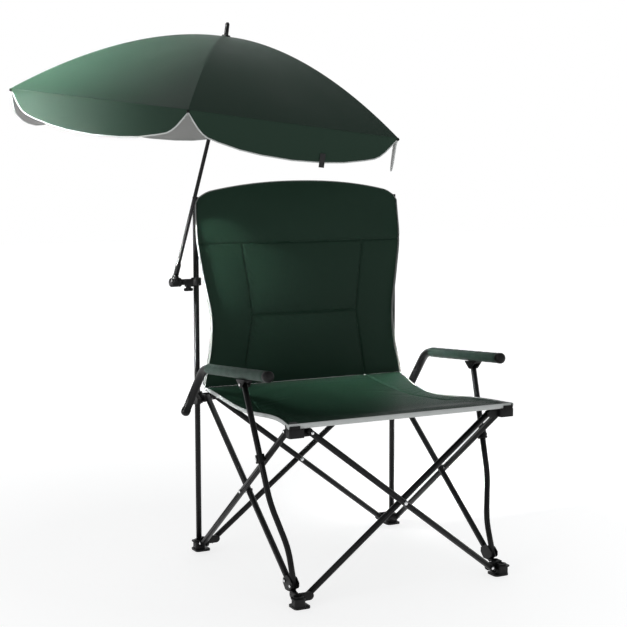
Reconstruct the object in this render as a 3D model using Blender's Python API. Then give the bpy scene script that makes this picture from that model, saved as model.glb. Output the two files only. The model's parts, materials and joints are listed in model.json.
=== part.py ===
"""Folding quad chair with padded arms and a clamp-on six-rib umbrella. Metres, +Z up, front faces -Y."""
import math

import bmesh
import bpy
import numpy as np
from mathutils import Matrix, Vector

for scene_object in list(bpy.data.objects):
    bpy.data.objects.remove(scene_object, do_unlink=True)

# Clearance between pieces that touch or turn on each other, and how far a cutter runs past what it cuts
gap = 0.0003
overrun = 0.0300

# Sides of the round pieces
crossSides = 14
roundSides = 20
middleSides = 16
pinSides = 10

# Round steel stock
crossRadius = 0.0076
poleRadius = 0.0074
uprightRadius = 0.0074
armRadius = 0.0110

# Every scissor has this span between pivots and this rise, so all four close together
span = 0.5070
rise = 0.3900
frontFootPivotZ = 0.0230
rearFootPivotZ = 0.0260
sideFootPivotZ = 0.0255
sideCentreY = 0.0077
tubeLayer = 0.0180
footPivotX = span / 2
sideRearY = sideCentreY + span / 2
sideFrontY = sideCentreY - span / 2
middleHeight = rise / 2
upperPivotZ = frontFootPivotZ + rise

# How far the tube layers, the poles and the feet stand outside the scissors' pivots
poleOutwards = 0.0465
poleBackwards = 0.0296
frontLayerForwards = 0.0293
rearLayerBackwards = 0.0139
frontFootOutwards = 0.0270
frontFootForwards = 0.0222
rearFootOutwards = 0.0426
rearFootBackwards = 0.0267
frontSocketOutwards = 0.0330
frontSocketForwards = 0.0282
poleX = footPivotX + poleOutwards
poleY = sideRearY + poleBackwards
outerLayerX = poleX
innerLayerX = outerLayerX - tubeLayer
frontLayerY = sideFrontY - frontLayerForwards
rearLayerY = sideRearY + rearLayerBackwards
frontFootX = footPivotX + frontFootOutwards
frontFootY = sideFrontY - frontFootForwards
rearFootX = footPivotX + rearFootOutwards
rearFootY = sideRearY + rearFootBackwards
frontSocketX = footPivotX + frontSocketOutwards
frontSocketY = sideFrontY - frontSocketForwards

# Back poles, and the pins that every folding piece turns on
poleTopAbove = 0.5320
poleTopZ = upperPivotZ + poleTopAbove
poleBottomZ = 0.0080
pinRadius = 0.0025
pinHeadRadius = 0.0052
pinHeadHeight = 0.0022
boreRadius = pinRadius + gap
headShoulderShare = 0.60
headWideShare = 0.85
headTipShare = 0.45

# Front uprights: straight in side view, with one step inwards below the arm
uprightLean = 0.368
anklePivotZ = 0.0450
lowKinkZ = 0.1262
highKinkZ = 0.2312
lowKinkBehind = 0.0328
uprightHighOutwards = 0.0106
armHingeOutwards = 0.0300
armHingeAbove = 0.0900
kinkRound = 0.0300
lowKinkY = sideFrontY + lowKinkBehind
uprightLowX = innerLayerX
uprightHighX = poleX + uprightHighOutwards
armHingeX = poleX + armHingeOutwards
armHingeZ = upperPivotZ + armHingeAbove

# Arms: how far each corner stands outside the poles, and before, behind, above or below the scissors' pivots
armFrontOutwards = 0.0263
armFrontBehind = 0.0375
armFrontAbove = 0.1260
armBendOutwards = 0.0343
armBendBefore = 0.0962
armBendAbove = 0.0980
armTailOutwards = 0.0400
armTailBehind = 0.0191
armTailBelow = 0.0358
armBendRound = 0.0300
gripRadius = 0.0132
gripStartShare = 0.055
gripEndShare = 0.925
armFront = (poleX + armFrontOutwards, sideFrontY + armFrontBehind, upperPivotZ + armFrontAbove)
armBend = (poleX + armBendOutwards, sideRearY - armBendBefore, upperPivotZ + armBendAbove)
armTailEnd = (poleX + armTailOutwards, sideRearY + armTailBehind, upperPivotZ - armTailBelow)

# Cloth: the seat from its front edge to the fold, where the back stands on it
clothThickness = 0.0022
seatFrontOutwards = 0.0134
seatFrontForwards = 0.0319
seatAbove = 0.0195
foldInwards = 0.0020
foldForwards = 0.0420
foldAbove = 0.0335
seatSag = 0.0420
seatSideDip = 0.0240
backTopAbove = 0.0063
backCrownAbove = 0.0400
backHollow = 0.0140
seatFrontX = poleX + seatFrontOutwards
seatFrontY = sideFrontY - seatFrontForwards
seatEdgeZ = upperPivotZ + seatAbove
foldX = poleX - foldInwards
foldY = poleY - foldForwards
foldZ = upperPivotZ + foldAbove

# Umbrella, from the clamp on the left pole
clampBelowTop = 0.2220
clampHeight = 0.0200
clampOuter = 0.0135
knuckleOutwards = 0.0620
knuckleRadius = 0.0120
umbrellaPoleRadius = 0.0050
ferruleRadius = 0.0070
ferruleLength = 0.0300
tiltInwards = 0.0345
tiltForwards = 0.0359
tiltAbove = 0.4070
rimInwards = 0.0452
rimForwards = 0.0406
rimAbove = 0.4300
canopyLeanShares = (0.1087, -0.0721)
canopyHeading = math.radians(-120.0)
canopyPower = 1.85
canopyRadius = 0.5430
canopyRise = 0.2047
ribCount = 6
valanceDepth = 0.0820
valanceShares = ((0.0, 0.10), (0.09, 0.66), (0.27, 0.90), (0.50, 1.00), (0.73, 0.90), (0.91, 0.66))
canopyThickness = 0.0014
ribRadius = 0.0022
spikeRadius = 0.0055
spikeLength = 0.0360
clampZ = poleTopZ - clampBelowTop
knuckleX = -poleX - knuckleOutwards

chairCentre = Vector((rearFootX, -rearFootY, 0.0))


# Materials

def material(name, colour, roughness, metallic=0.0):
    made = bpy.data.materials.new(name)
    made.use_nodes = True
    shader = made.node_tree.nodes["Principled BSDF"]
    shader.inputs["Base Color"].default_value = (*colour, 1.0)
    shader.inputs["Roughness"].default_value = roughness
    shader.inputs["Metallic"].default_value = metallic
    return made


blackSteel = material("black_steel", (0.018, 0.018, 0.020), 0.38, 0.35)
blackPlastic = material("black_plastic", (0.012, 0.012, 0.013), 0.45)
brightSteel = material("bright_steel", (0.72, 0.72, 0.74), 0.25, 1.0)
greenFoam = material("green_foam", (0.055, 0.100, 0.080), 0.65)
greenCloth = material("green_cloth", (0.018, 0.045, 0.032), 0.80)
blackWeb = material("black_web", (0.010, 0.010, 0.011), 0.85)


# Basic solids, all in chair coordinates with the chair's centre on the ground at zero

def scratch(name, work):
    mesh = bpy.data.meshes.new(name)
    bmesh.ops.recalc_face_normals(work, faces=work.faces)
    work.to_mesh(mesh)
    work.free()
    made = bpy.data.objects.new(name, mesh)
    bpy.context.scene.collection.objects.link(made)
    return made


def closeRings(work, rings):
    """Quads between each ring of vertices and the next, and a face over each end."""
    for first, second in zip(rings, rings[1:]):
        count = len(first)
        for i in range(count):
            work.faces.new((first[i], first[(i + 1) % count], second[(i + 1) % count], second[i]))
    work.faces.new(rings[0][::-1])
    work.faces.new(rings[-1])


def box(low, high):
    outline = [(low[0], low[1]), (high[0], low[1]), (high[0], high[1]), (low[0], high[1])]
    return prism(outline, "z", low[2], high[2])


def prism(outline, axis, low, high):
    """An outline of (a, b) points pushed from low to high along an axis, in the other two axes' order."""
    work = bmesh.new()
    order = {"x": lambda level, a, b: (level, a, b), "y": lambda level, a, b: (a, level, b),
             "z": lambda level, a, b: (a, b, level)}[axis]
    closeRings(work, [[work.verts.new(order(level, a, b)) for a, b in outline] for level in (low, high)])
    return scratch("prism", work)


def ringAt(work, centre, side, other, radius, sides):
    angles = [2 * math.pi * i / sides for i in range(sides)]
    return [work.verts.new(centre + (side * math.cos(a) + other * math.sin(a)) * radius) for a in angles]


def turned(start, direction, profile, sides=roundSides):
    """A solid of revolution: profile holds (distance along the axis, radius), from end to end."""
    work = bmesh.new()
    axis = Vector(direction).normalized()
    side = axis.orthogonal().normalized()
    other = axis.cross(side)
    closeRings(work, [ringAt(work, Vector(start) + axis * along, side, other, radius, sides)
                      for along, radius in profile])
    return scratch("turned", work)


def rod(start, end, radius, sides=middleSides):
    along = Vector(end) - Vector(start)
    return turned(start, along, [(0.0, radius), (along.length, radius)], sides)


def roundedOutline(centreA, centreB, halfA, halfB, corner, steps=3):
    """A rectangle with arcs for corners, anticlockwise."""
    points = []
    for index, (signA, signB) in enumerate(((1, 1), (-1, 1), (-1, -1), (1, -1))):
        for step in range(steps + 1):
            angle = math.pi / 2 * (index + step / steps)
            points.append((centreA + signA * (halfA - corner) + corner * math.cos(angle),
                           centreB + signB * (halfB - corner) + corner * math.sin(angle)))
    return points


def linkOutline(pivot, radius, farA, steps=8):
    """A lug in two axes: round about its pivot and straight to the far edge at farA."""
    sign = 1 if farA > pivot[0] else -1
    points = []
    for step in range(steps + 1):
        angle = math.pi / 2 + math.pi * step / steps
        points.append((pivot[0] + sign * radius * math.cos(angle), pivot[1] + radius * math.sin(angle)))
    points.append((farA, pivot[1] - radius))
    points.append((farA, pivot[1] + radius))
    return points


def capsuleOutline(first, second, half, steps=6):
    """A slot shape from one point to another in two axes, anticlockwise."""
    heading = math.atan2(second[1] - first[1], second[0] - first[0])
    points = []
    for centre, turn in ((second, heading - math.pi / 2), (first, heading + math.pi / 2)):
        for step in range(steps + 1):
            angle = turn + math.pi * step / steps
            points.append((centre[0] + half * math.cos(angle), centre[1] + half * math.sin(angle)))
    return points


def combine(base, others, operation="UNION"):
    for other in others:
        step = base.modifiers.new("combine", "BOOLEAN")
        step.operation = operation
        step.solver = "EXACT"
        step.object = other
        graph = bpy.context.evaluated_depsgraph_get()
        graph.update()
        result = bpy.data.meshes.new_from_object(base.evaluated_get(graph))
        base.modifiers.clear()
        base.data = result
        bpy.data.objects.remove(other, do_unlink=True)
    return base


def publish(made, name, look, pivot=(0.0, 0.0, 0.0), smoothAngle=35.0):
    """Name the solid, give it its material, and put its origin on its pivot in the part's own frame."""
    mesh = made.data
    pivot = Vector(pivot)
    mesh.transform(Matrix.Translation(-pivot))
    mesh.materials.clear()
    mesh.materials.append(look)
    mesh.shade_smooth()
    mesh.set_sharp_from_angle(angle=math.radians(smoothAngle))
    made.name = name
    mesh.name = name
    made.location = pivot + chairCentre
    return made


def sweep(points, radius, sides=middleSides):
    """A solid tube along points, kept from twisting by carrying its frame along."""
    points = [Vector(p) for p in points]
    work = bmesh.new()
    side = None
    rings = []
    for i, point in enumerate(points):
        axis = (points[min(i + 1, len(points) - 1)] - points[max(i - 1, 0)]).normalized()
        side = axis.orthogonal() if side is None else side - axis * side.dot(axis)
        side.normalize()
        rings.append(ringAt(work, point, side, axis.cross(side), radius, sides))
    closeRings(work, rings)
    return scratch("sweep", work)


def roundedPath(points, radius, steps):
    """The points with each inner corner replaced by a smooth curve that starts and ends a radius away."""
    points = [Vector(p) for p in points]
    path = [points[0]]
    for before, corner, after in zip(points, points[1:], points[2:]):
        start = corner + (before - corner).normalized() * radius
        end = corner + (after - corner).normalized() * radius
        for step in range(steps + 1):
            t = step / steps
            path.append(start * (1 - t) ** 2 + corner * 2 * t * (1 - t) + end * t * t)
    path.append(points[-1])
    return path


def clothSolid(points, thickness, closedRows=False):
    """A sheet of the given thickness behind a grid of points [row][column], as one closed solid."""
    grid = np.asarray(points, dtype=float)
    alongU = np.gradient(grid, axis=0)
    alongV = np.gradient(grid, axis=1)
    if closedRows:
        alongV = (np.roll(grid, -1, axis=1) - np.roll(grid, 1, axis=1)) / 2
    normal = np.cross(alongU, alongV)
    normal /= np.linalg.norm(normal, axis=2, keepdims=True)
    back = grid - normal * thickness
    rows, columns = grid.shape[:2]
    work = bmesh.new()
    layers = [[[work.verts.new(layer[r, c]) for c in range(columns)] for r in range(rows)]
              for layer in (grid, back)]
    last = columns if closedRows else columns - 1
    for r in range(rows - 1):
        for c in range(last):
            d = (c + 1) % columns
            for layer, flip in zip(layers, (False, True)):
                quad = [layer[r][c], layer[r + 1][c], layer[r + 1][d], layer[r][d]]
                work.faces.new(quad[::-1] if flip else quad)
    front, rear = layers
    for c in range(last):
        d = (c + 1) % columns
        for r in (0, rows - 1):
            work.faces.new((front[r][c], front[r][d], rear[r][d], rear[r][c]))
    if not closedRows:
        for r in range(rows - 1):
            for c in (0, columns - 1):
                work.faces.new((front[r][c], front[r + 1][c], rear[r + 1][c], rear[r][c]))
    return scratch("cloth", work)


def readTable(table, place):
    """Straight between the (place, value) pairs of a table."""
    return float(np.interp(place, [row[0] for row in table], [row[1] for row in table]))


def pivotPin(start, end):
    """A pin from a plate's face through the tube beside it, with a domed head past the tube."""
    start, end = Vector(start), Vector(end)
    length = (end - start).length
    profile = [(0.0, pinRadius), (length, pinRadius), (length, pinHeadRadius),
               (length + pinHeadHeight * headShoulderShare, pinHeadRadius * headWideShare),
               (length + pinHeadHeight, pinHeadRadius * headTipShare)]
    return turned(start, end - start, profile, pinSides)


rivetSides = 12


def centrePin(name, centre, direction):
    """The rivet of a crossing: a washer between the tubes, its shank through both, and two domed heads."""
    half = tubeLayer / 2 - crossRadius - gap
    outer = tubeLayer / 2 + crossRadius + gap
    side = [(half, crossRadius * headWideShare), (half, pinRadius),
            (outer, pinRadius), (outer, pinHeadRadius),
            (outer + pinHeadHeight * headShoulderShare, pinHeadRadius * headWideShare),
            (outer + pinHeadHeight, pinHeadRadius * headTipShare)]
    profile = [(-along, radius) for along, radius in side[::-1]] + side
    return publish(turned(centre, direction, profile, rivetSides), name, brightSteel, centre)


# Feet: a square plate, a body and flange, a socket for an upright tube and two lugs for the crossed tubes

plateSide = 0.0420
plateCorner = 0.0090
plateHeight = 0.0050
bodySide = 0.0270
bodyCorner = 0.0060
flangeSide = 0.0340
flangeCorner = 0.0080
flangeShift = 0.0020
flangeBottomZ = 0.0225
flangeThickness = 0.0030
socketOuter = 0.0125
socketTopZ = 0.0290
earThickness = 0.0050
earRadius = 0.0100
neckThickness = 0.0090
ankleEarRadius = 0.0085


def corner(sideSign, endSign):
    """Where a corner's foot, socket and tube layers lie: sideSign -1 is left, endSign -1 is front."""
    front = endSign < 0
    lapped = tubeLayer if sideSign < 0 else 0.0
    layerY = frontLayerY if front else rearLayerY
    return {
        "foot": (sideSign * (frontFootX if front else rearFootX), frontFootY if front else rearFootY),
        "socket": (sideSign * (frontSocketX if front else poleX), frontSocketY if front else poleY),
        "crossY": layerY + lapped,
        "crossTopY": layerY + tubeLayer - lapped,
        "sideX": sideSign * (innerLayerX if front else outerLayerX),
        "sideTopX": sideSign * (outerLayerX if front else innerLayerX),
        "sideY": sideFrontY if front else sideRearY,
        "crossZ": frontFootPivotZ if front else rearFootPivotZ,
    }


def lugAlongX(pivotX, pivotZ, farX, tubeY, awaySign):
    """A lug beside the tube at tubeY, on its awaySign side, with the pin that carries the tube."""
    near = tubeY + awaySign * (crossRadius + gap)
    far = near + awaySign * earThickness
    lug = prism(linkOutline((pivotX, pivotZ), earRadius, farX), "y", min(near, far), max(near, far))
    start = (pivotX, near + awaySign * earThickness / 2, pivotZ)
    return combine(lug, [pivotPin(start, (pivotX, tubeY - awaySign * (crossRadius + gap), pivotZ))])


def lugAlongY(pivotY, pivotZ, farY, tubeX, awaySign, reach=crossRadius, radius=earRadius):
    """The same for a tube at tubeX, or for a neck that reaches a given distance each way from there."""
    near = tubeX + awaySign * (reach + gap)
    far = near + awaySign * earThickness
    lug = prism(linkOutline((pivotY, pivotZ), radius, farY), "x", min(near, far), max(near, far))
    start = (near + awaySign * earThickness / 2, pivotY, pivotZ)
    return combine(lug, [pivotPin(start, (tubeX - awaySign * (reach + gap), pivotY, pivotZ))])


def makeFoot(name, sideSign, endSign):
    """Plate, body, flange and socket round the upright tube, with a lug inwards along X and one along Y."""
    place = corner(sideSign, endSign)
    footX, footY = place["foot"]
    socketX, socketY = place["socket"]
    plate = roundedOutline(footX, footY, plateSide / 2, plateSide / 2, plateCorner, 4)
    made = prism(plate, "z", 0.0, plateHeight)
    body = prism(roundedOutline(socketX, socketY, bodySide / 2, bodySide / 2, bodyCorner), "z",
                 plateHeight / 2, flangeBottomZ + flangeThickness / 2)
    socket = rod((socketX, socketY, plateHeight / 2), (socketX, socketY, socketTopZ), socketOuter, roundSides)
    flangeHalf = flangeSide / 2 - flangeShift
    flange = prism(roundedOutline(socketX + sideSign * flangeShift, socketY + endSign * flangeShift,
                                  flangeHalf, flangeHalf, flangeCorner),
                   "z", flangeBottomZ, flangeBottomZ + flangeThickness)
    towards = 1 if footY > place["crossY"] else -1
    acrossLug = lugAlongX(sideSign * footPivotX, place["crossZ"], socketX, place["crossY"], towards)
    if endSign < 0:
        alongLug = lugAlongY(place["sideY"], sideFootPivotZ, socketY, place["sideX"], sideSign,
                             neckThickness / 2, ankleEarRadius)
    else:
        alongLug = lugAlongY(place["sideY"], sideFootPivotZ, socketY, place["sideX"], -sideSign)
    combine(made, [body, socket, flange, acrossLug, alongLug])
    hole = rod((socketX, socketY, poleBottomZ - gap), (socketX, socketY, socketTopZ + overrun),
               poleRadius + gap, roundSides)
    combine(made, [hole], "DIFFERENCE")
    pivot = (footX, footY, 0.0)
    if endSign < 0:
        pivot = (place["sideX"], place["sideY"], sideFootPivotZ)
    elif sideSign > 0:
        pivot = (footPivotX, place["crossY"], rearFootPivotZ)
    return publish(made, name, blackPlastic, pivot)


for sideSign, side in ((-1, "left"), (1, "right")):
    makeFoot("foot_front_" + side, sideSign, -1)
    makeFoot("foot_rear_" + side, sideSign, 1)


# Crossed tubes: two in front, two behind and two on each side, each pair riveted at its middle

endReach = 0.0060
crossLowReach = 0.0150
crossTopReach = 0.0110
ankleReach = 0.0350
ankleRivetReach = 0.0410


def makeCross(low, high, direction, lowReach, topReach, lowBore=0.0):
    """A tube from its lower pivot to its upper one, bored for its three pins; lowBore moves the lowest up."""
    low, high = Vector(low), Vector(high)
    along = (high - low).normalized()
    made = rod(low - along * lowReach, high + along * topReach, crossRadius, crossSides)
    across = Vector(direction) * crossRadius * 2
    places = [low + along * lowBore, (low + high) / 2, high]
    bores = [rod(place - across, place + across, boreRadius, pinSides) for place in places]
    return combine(made, bores, "DIFFERENCE")


def crossPair(prefix, lowZ, layerY):
    """The two tubes of a cross that lies along X: number 1 from high left to low right in front."""
    middle = (0.0, layerY, lowZ + middleHeight)
    lapped = layerY + tubeLayer
    low = (-footPivotX, lapped, lowZ)
    first = makeCross((footPivotX, layerY, lowZ), (-footPivotX, layerY, lowZ + rise), (0, 1, 0),
                      crossLowReach, crossTopReach)
    publish(first, prefix + "_1", blackSteel, middle)
    second = makeCross(low, (footPivotX, lapped, lowZ + rise), (0, 1, 0), crossLowReach, crossTopReach)
    publish(second, prefix + "_2", blackSteel, low)
    centrePin(prefix + "_rivet", (0.0, layerY + tubeLayer / 2, lowZ + middleHeight), (0, 1, 0))


crossPair("front_tube", frontFootPivotZ, frontLayerY)
crossPair("rear_tube", rearFootPivotZ, rearLayerY)

for sideSign, side in ((-1, "left"), (1, "right")):
    outerX = sideSign * outerLayerX
    innerX = sideSign * innerLayerX
    topZ = sideFootPivotZ + rise
    outer = makeCross((outerX, sideRearY, sideFootPivotZ), (outerX, sideFrontY, topZ), (1, 0, 0),
                      endReach, endReach)
    publish(outer, side + "_tube_outer", blackSteel, (outerX, sideRearY, sideFootPivotZ))
    inner = makeCross((innerX, sideFrontY, sideFootPivotZ), (innerX, sideRearY, topZ), (1, 0, 0),
                      -ankleReach, endReach, ankleRivetReach)
    publish(inner, side + "_tube_inner", blackSteel, (innerX, sideCentreY, sideFootPivotZ + middleHeight))
    centrePin(side + "_rivet", ((outerX + innerX) / 2, sideCentreY, sideFootPivotZ + middleHeight), (1, 0, 0))


# Ankles: two cheeks with a web below, holding the inner tube's end and the upright's pin

cheekThickness = 0.0022
neckHalf = 0.0065
ankleReachShares = ((0.327, -0.115), (0.646, -0.359), (1.100, -0.290), (1.254, -0.071), (1.078, 0.402),
                    (0.705, 0.595), (0.315, 0.588), (0.173, 0.405), (0.185, 0.241), (0.295, 0.063))
webShares = ((0.344, -0.112), (0.654, -0.349), (0.812, -0.224), (0.463, 0.044))
neckEndShares = (0.624, -0.149)


def sidePoint(along, up=0.0):
    """A point of the front ankle's side view, along the inner tube from its foot pivot and square to it."""
    angle = math.atan2(rise, span)
    return (sideFrontY + along * math.cos(angle) - up * math.sin(angle),
            sideFootPivotZ + along * math.sin(angle) + up * math.cos(angle))


def uprightY(z):
    return lowKinkY + uprightLean * (z - lowKinkZ)


def makeAnkle(side, sideSign):
    """Its outlines are shares of the rivet's distance from the foot pivot, along the tube and square."""
    centreX = sideSign * innerLayerX
    cheekInner = crossRadius + gap
    reach = cheekInner + cheekThickness

    def placed(shares):
        return [sidePoint(along * ankleRivetReach, up * ankleRivetReach) for along, up in shares]

    made = prism(placed(ankleReachShares), "x", centreX - reach, centreX + reach)
    slot = box((centreX - cheekInner, sideFrontY - overrun, sideFootPivotZ),
               (centreX + cheekInner, sideFrontY + ankleRivetReach * 2, sideFootPivotZ + ankleRivetReach * 2))
    combine(made, [slot], "DIFFERENCE")
    web = prism(placed(webShares), "x", centreX - cheekInner - gap, centreX + cheekInner + gap)
    neck = prism(capsuleOutline((sideFrontY, sideFootPivotZ), placed([neckEndShares])[0], neckHalf), "x",
                 centreX - neckThickness / 2, centreX + neckThickness / 2)
    combine(made, [web, neck])
    bore = rod((centreX - reach, sideFrontY, sideFootPivotZ), (centreX + reach, sideFrontY, sideFootPivotZ),
               boreRadius, pinSides)
    combine(made, [bore], "DIFFERENCE")
    inside = centreX - sideSign * (reach - cheekThickness / 2)
    outside = centreX + sideSign * (reach - gap)
    pins = [pivotPin((inside, y, z), (outside, y, z))
            for y, z in ((uprightY(anklePivotZ), anklePivotZ), sidePoint(ankleRivetReach))]
    combine(made, pins)
    return publish(made, "ankle_" + side, blackPlastic, (centreX, sideFrontY, sideFootPivotZ))


# Uprights: from the ankle's pin, in along a smooth step, then out to the arm's hinge

uprightFoot = 0.0060
uprightTop = 0.0045
uprightSides = 12
bendSteps = 5


def armHinge(sideSign):
    return Vector((sideSign * armHingeX, uprightY(armHingeZ), armHingeZ))


def uprightX(z):
    share = (z - highKinkZ) / (armHingeZ - highKinkZ)
    return uprightHighX + (armHingeX - uprightHighX) * share


def makeUpright(side, sideSign):
    pin = Vector((sideSign * uprightLowX, uprightY(anklePivotZ), anklePivotZ))
    low = Vector((sideSign * uprightLowX, lowKinkY, lowKinkZ))
    high = Vector((sideSign * uprightHighX, uprightY(highKinkZ), highKinkZ))
    hinge = armHinge(sideSign)
    start = pin - (low - pin).normalized() * uprightFoot
    end = hinge + (hinge - high).normalized() * uprightTop
    made = sweep(roundedPath([start, low, high, end], kinkRound, bendSteps), uprightRadius, uprightSides)
    across = Vector((uprightRadius * 2, 0, 0))
    bores = [rod(place - across, place + across, boreRadius, pinSides) for place in (pin, hinge)]
    combine(made, bores, "DIFFERENCE")
    return publish(made, "upright_" + side, blackSteel, pin)


# Sleeves that slide on the uprights beside the outer tubes, flat where they meet them

sleeveHeight = 0.0200
sleeveOuter = 0.0112
sleeveRimShare = 1.14


def sleeveCentreZ():
    """The height where the upright crosses the outer tube in side view."""
    slope = rise / span
    reach = sideRearY - lowKinkY + uprightLean * lowKinkZ
    return (sideFootPivotZ + slope * reach) / (1 + slope * uprightLean)


def makeSleeve(side, sideSign):
    z = sleeveCentreZ()
    centre = Vector((sideSign * uprightX(z), uprightY(z), z))
    along = (armHinge(sideSign) - centre).normalized()
    low = centre - along * sleeveHeight / 2
    made = rod(low, centre + along * sleeveHeight / 2, sleeveOuter, roundSides)
    combine(made, [rod(low, low + along * sleeveHeight / 4, sleeveOuter * sleeveRimShare, roundSides)])
    bore = rod(centre - along * sleeveHeight, centre + along * sleeveHeight, uprightRadius + gap, roundSides)
    face = sideSign * (outerLayerX + crossRadius + gap)
    flat = box((min(0.0, face), centre.y - overrun, z - overrun),
               (max(0.0, face), centre.y + overrun, z + overrun))
    combine(made, [bore, flat], "DIFFERENCE")
    return publish(made, "sleeve_" + side, blackPlastic, centre)


# Corner blocks where a front tube and a side tube end under the seat's front corners

blockBelow = 0.0090
blockAbove = 0.0110
blockInwards = 0.0075
blockForwards = 0.0035
blockHalfX = 0.0195
blockHalfY = 0.0125
blockCorner = 0.0050
tabInwards = 0.0030
tabHalf = 0.0145


def makeCornerBlock(side, sideSign):
    place = corner(sideSign, -1)
    blockX = sideSign * (poleX - blockInwards)
    blockY = frontFootY - blockForwards
    top = upperPivotZ + blockAbove
    body = roundedOutline(blockX, blockY, blockHalfX, blockHalfY, blockCorner)
    made = prism(body, "z", upperPivotZ - blockBelow, top)
    pad = roundedOutline(sideSign * (poleX - tabInwards), frontFootY, tabHalf, tabHalf, blockCorner)
    tab = prism(pad, "z", top - gap, seatEdgeZ - 2 * gap)
    across = lugAlongX(sideSign * footPivotX, upperPivotZ, blockX, place["crossTopY"], -sideSign)
    along = lugAlongY(sideFrontY, sideFootPivotZ + rise, blockY, place["sideTopX"], -sideSign)
    combine(made, [tab, across, along])
    origin = (place["sideTopX"], sideFrontY, sideFootPivotZ + rise)
    return publish(made, "corner_block_" + side, blackPlastic, origin)


# Rear sliders: a collar on the back pole with lugs for two tubes and a cheek beside the arm's tail

sliderBelow = 0.0130
sliderAbove = 0.0170
sliderOuter = 0.0130
sliderRimShare = 1.12
sliderRimHeight = 0.0040
sliderWall = 0.0020
cheekOutwards = 0.0200
cheekReach = 0.0500
cheekShares = ((-0.12, 0.80), (0.60, 0.90), (1.00, 0.60), (0.92, 0.13), (0.40, 0.0), (-0.12, 0.13))


def makeSlider(side, sideSign):
    place = corner(sideSign, 1)
    x = sideSign * poleX
    lowZ, topZ = upperPivotZ - sliderBelow, upperPivotZ + sliderAbove
    made = rod((x, poleY, lowZ), (x, poleY, topZ), sliderOuter, roundSides)
    rim = rod((x, poleY, lowZ), (x, poleY, lowZ + sliderRimHeight), sliderOuter * sliderRimShare, roundSides)
    across = lugAlongX(sideSign * footPivotX, rearFootPivotZ + rise, x, place["crossTopY"], -sideSign)
    along = lugAlongY(sideRearY, sideFootPivotZ + rise, poleY, place["sideTopX"], sideSign)
    outline = [(poleY - cheekReach * a, lowZ + (topZ - lowZ) * b) for a, b in cheekShares]
    inner = poleX + poleRadius + sliderWall
    cheek = prism(outline, "x", *sorted((sideSign * inner, sideSign * (poleX + cheekOutwards))))
    combine(made, [rim, across, along, cheek])
    bore = rod((x, poleY, lowZ - overrun), (x, poleY, topZ + overrun), poleRadius + gap, roundSides)
    combine(made, [bore], "DIFFERENCE")
    origin = (place["sideTopX"], sideRearY, sideFootPivotZ + rise)
    return publish(made, "slider_" + side, blackPlastic, origin)


# Arms: a bent tube whose tail passes the slider, a foam grip, a front cap and the hinge saddle

capLength = 0.0160
capRadius = 0.0138
capShares = ((0.0, 1.0), (0.75, 1.0), (1.0, 0.82), (1.18, 0.40))
tailCapLength = 0.0140
tailCapShares = ((0.0, 1.11), (0.86, 1.11), (1.07, 0.82))
gripEdge = 0.0030
gripEdgeShare = 0.91
saddleHalfLength = 0.0230
saddleThickness = 0.0024
saddleSlack = 0.0016
saddleCheek = 0.0022
saddleNeckHalf = 0.0085
saddleTipHalf = 0.0045
saddleNeckBelow = 0.0040
saddleTipBelow = 0.0075


def scaled(shares, length, radius):
    """A turned profile from shares of a length and of a radius."""
    return [(along * length, wide * radius) for along, wide in shares]


def armPoints(sideSign):
    return [Vector((sideSign * x, y, z)) for x, y, z in (armFront, armBend, armTailEnd)]


def makeArm(side, sideSign):
    front, bend, tail = armPoints(sideSign)
    hinge = armHinge(sideSign)
    along = (bend - front).normalized()
    capFoot = front + along * capLength
    made = sweep(roundedPath([capFoot + along * gap, bend, tail], armBendRound, bendSteps + 1), armRadius)
    tailAlong = (tail - bend).normalized()
    tailProfile = scaled(tailCapShares, tailCapLength, armRadius)
    tailCap = turned(tail - tailAlong * tailCapLength, tailAlong, tailProfile, middleSides)
    publish(combine(made, [tailCap]), "arm_" + side, blackSteel, hinge)
    length = (bend - front).length
    start = front + along * (length * gripStartShare)
    end = front + along * (length * gripEndShare)
    gripLength = (end - start).length
    endRadius = gripRadius * gripEdgeShare
    grip = turned(start, along, [(0.0, endRadius), (gripEdge, gripRadius),
                                 (gripLength - gripEdge, gripRadius), (gripLength, endRadius)])
    bore = rod(start - along * overrun, end + along * overrun, armRadius + gap, roundSides)
    combine(grip, [bore], "DIFFERENCE")
    publish(grip, "grip_" + side, greenFoam, hinge)
    cap = turned(capFoot, -along, scaled(capShares, capLength, capRadius))
    publish(cap, "arm_cap_" + side, blackPlastic, hinge)


def makeSaddle(side, sideSign):
    """A plate under the grip that bends down into two cheeks beside the upright's top."""
    x, y, z = hinge = armHinge(sideSign)
    front, bend, _ = armPoints(sideSign)
    slope = (bend.z - front.z) / (bend.y - front.y)
    before, behind = (front.z + slope * (place - front.y) - gripRadius - gap
                      for place in (y - saddleHalfLength, y + saddleHalfLength))
    inner = uprightRadius + saddleSlack
    halfWidth = inner + saddleCheek
    outline = [(y - saddleHalfLength, before - saddleThickness), (y - saddleNeckHalf, z - saddleNeckBelow),
               (y - saddleTipHalf, z - saddleTipBelow), (y + saddleTipHalf, z - saddleTipBelow),
               (y + saddleNeckHalf, z - saddleNeckBelow), (y + saddleHalfLength, behind - saddleThickness),
               (y + saddleHalfLength, behind), (y - saddleHalfLength, before)]
    made = prism(outline, "x", x - halfWidth, x + halfWidth)
    slotTop = min(before, behind) - saddleThickness
    slot = box((x - inner, y - overrun, z - overrun), (x + inner, y + overrun, slotTop))
    combine(made, [slot], "DIFFERENCE")
    inside = x - sideSign * (halfWidth - saddleCheek / 2)
    combine(made, [pivotPin((inside, y, z), (x + sideSign * (halfWidth - gap), y, z))])
    return publish(made, "saddle_" + side, blackPlastic, hinge)


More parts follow.
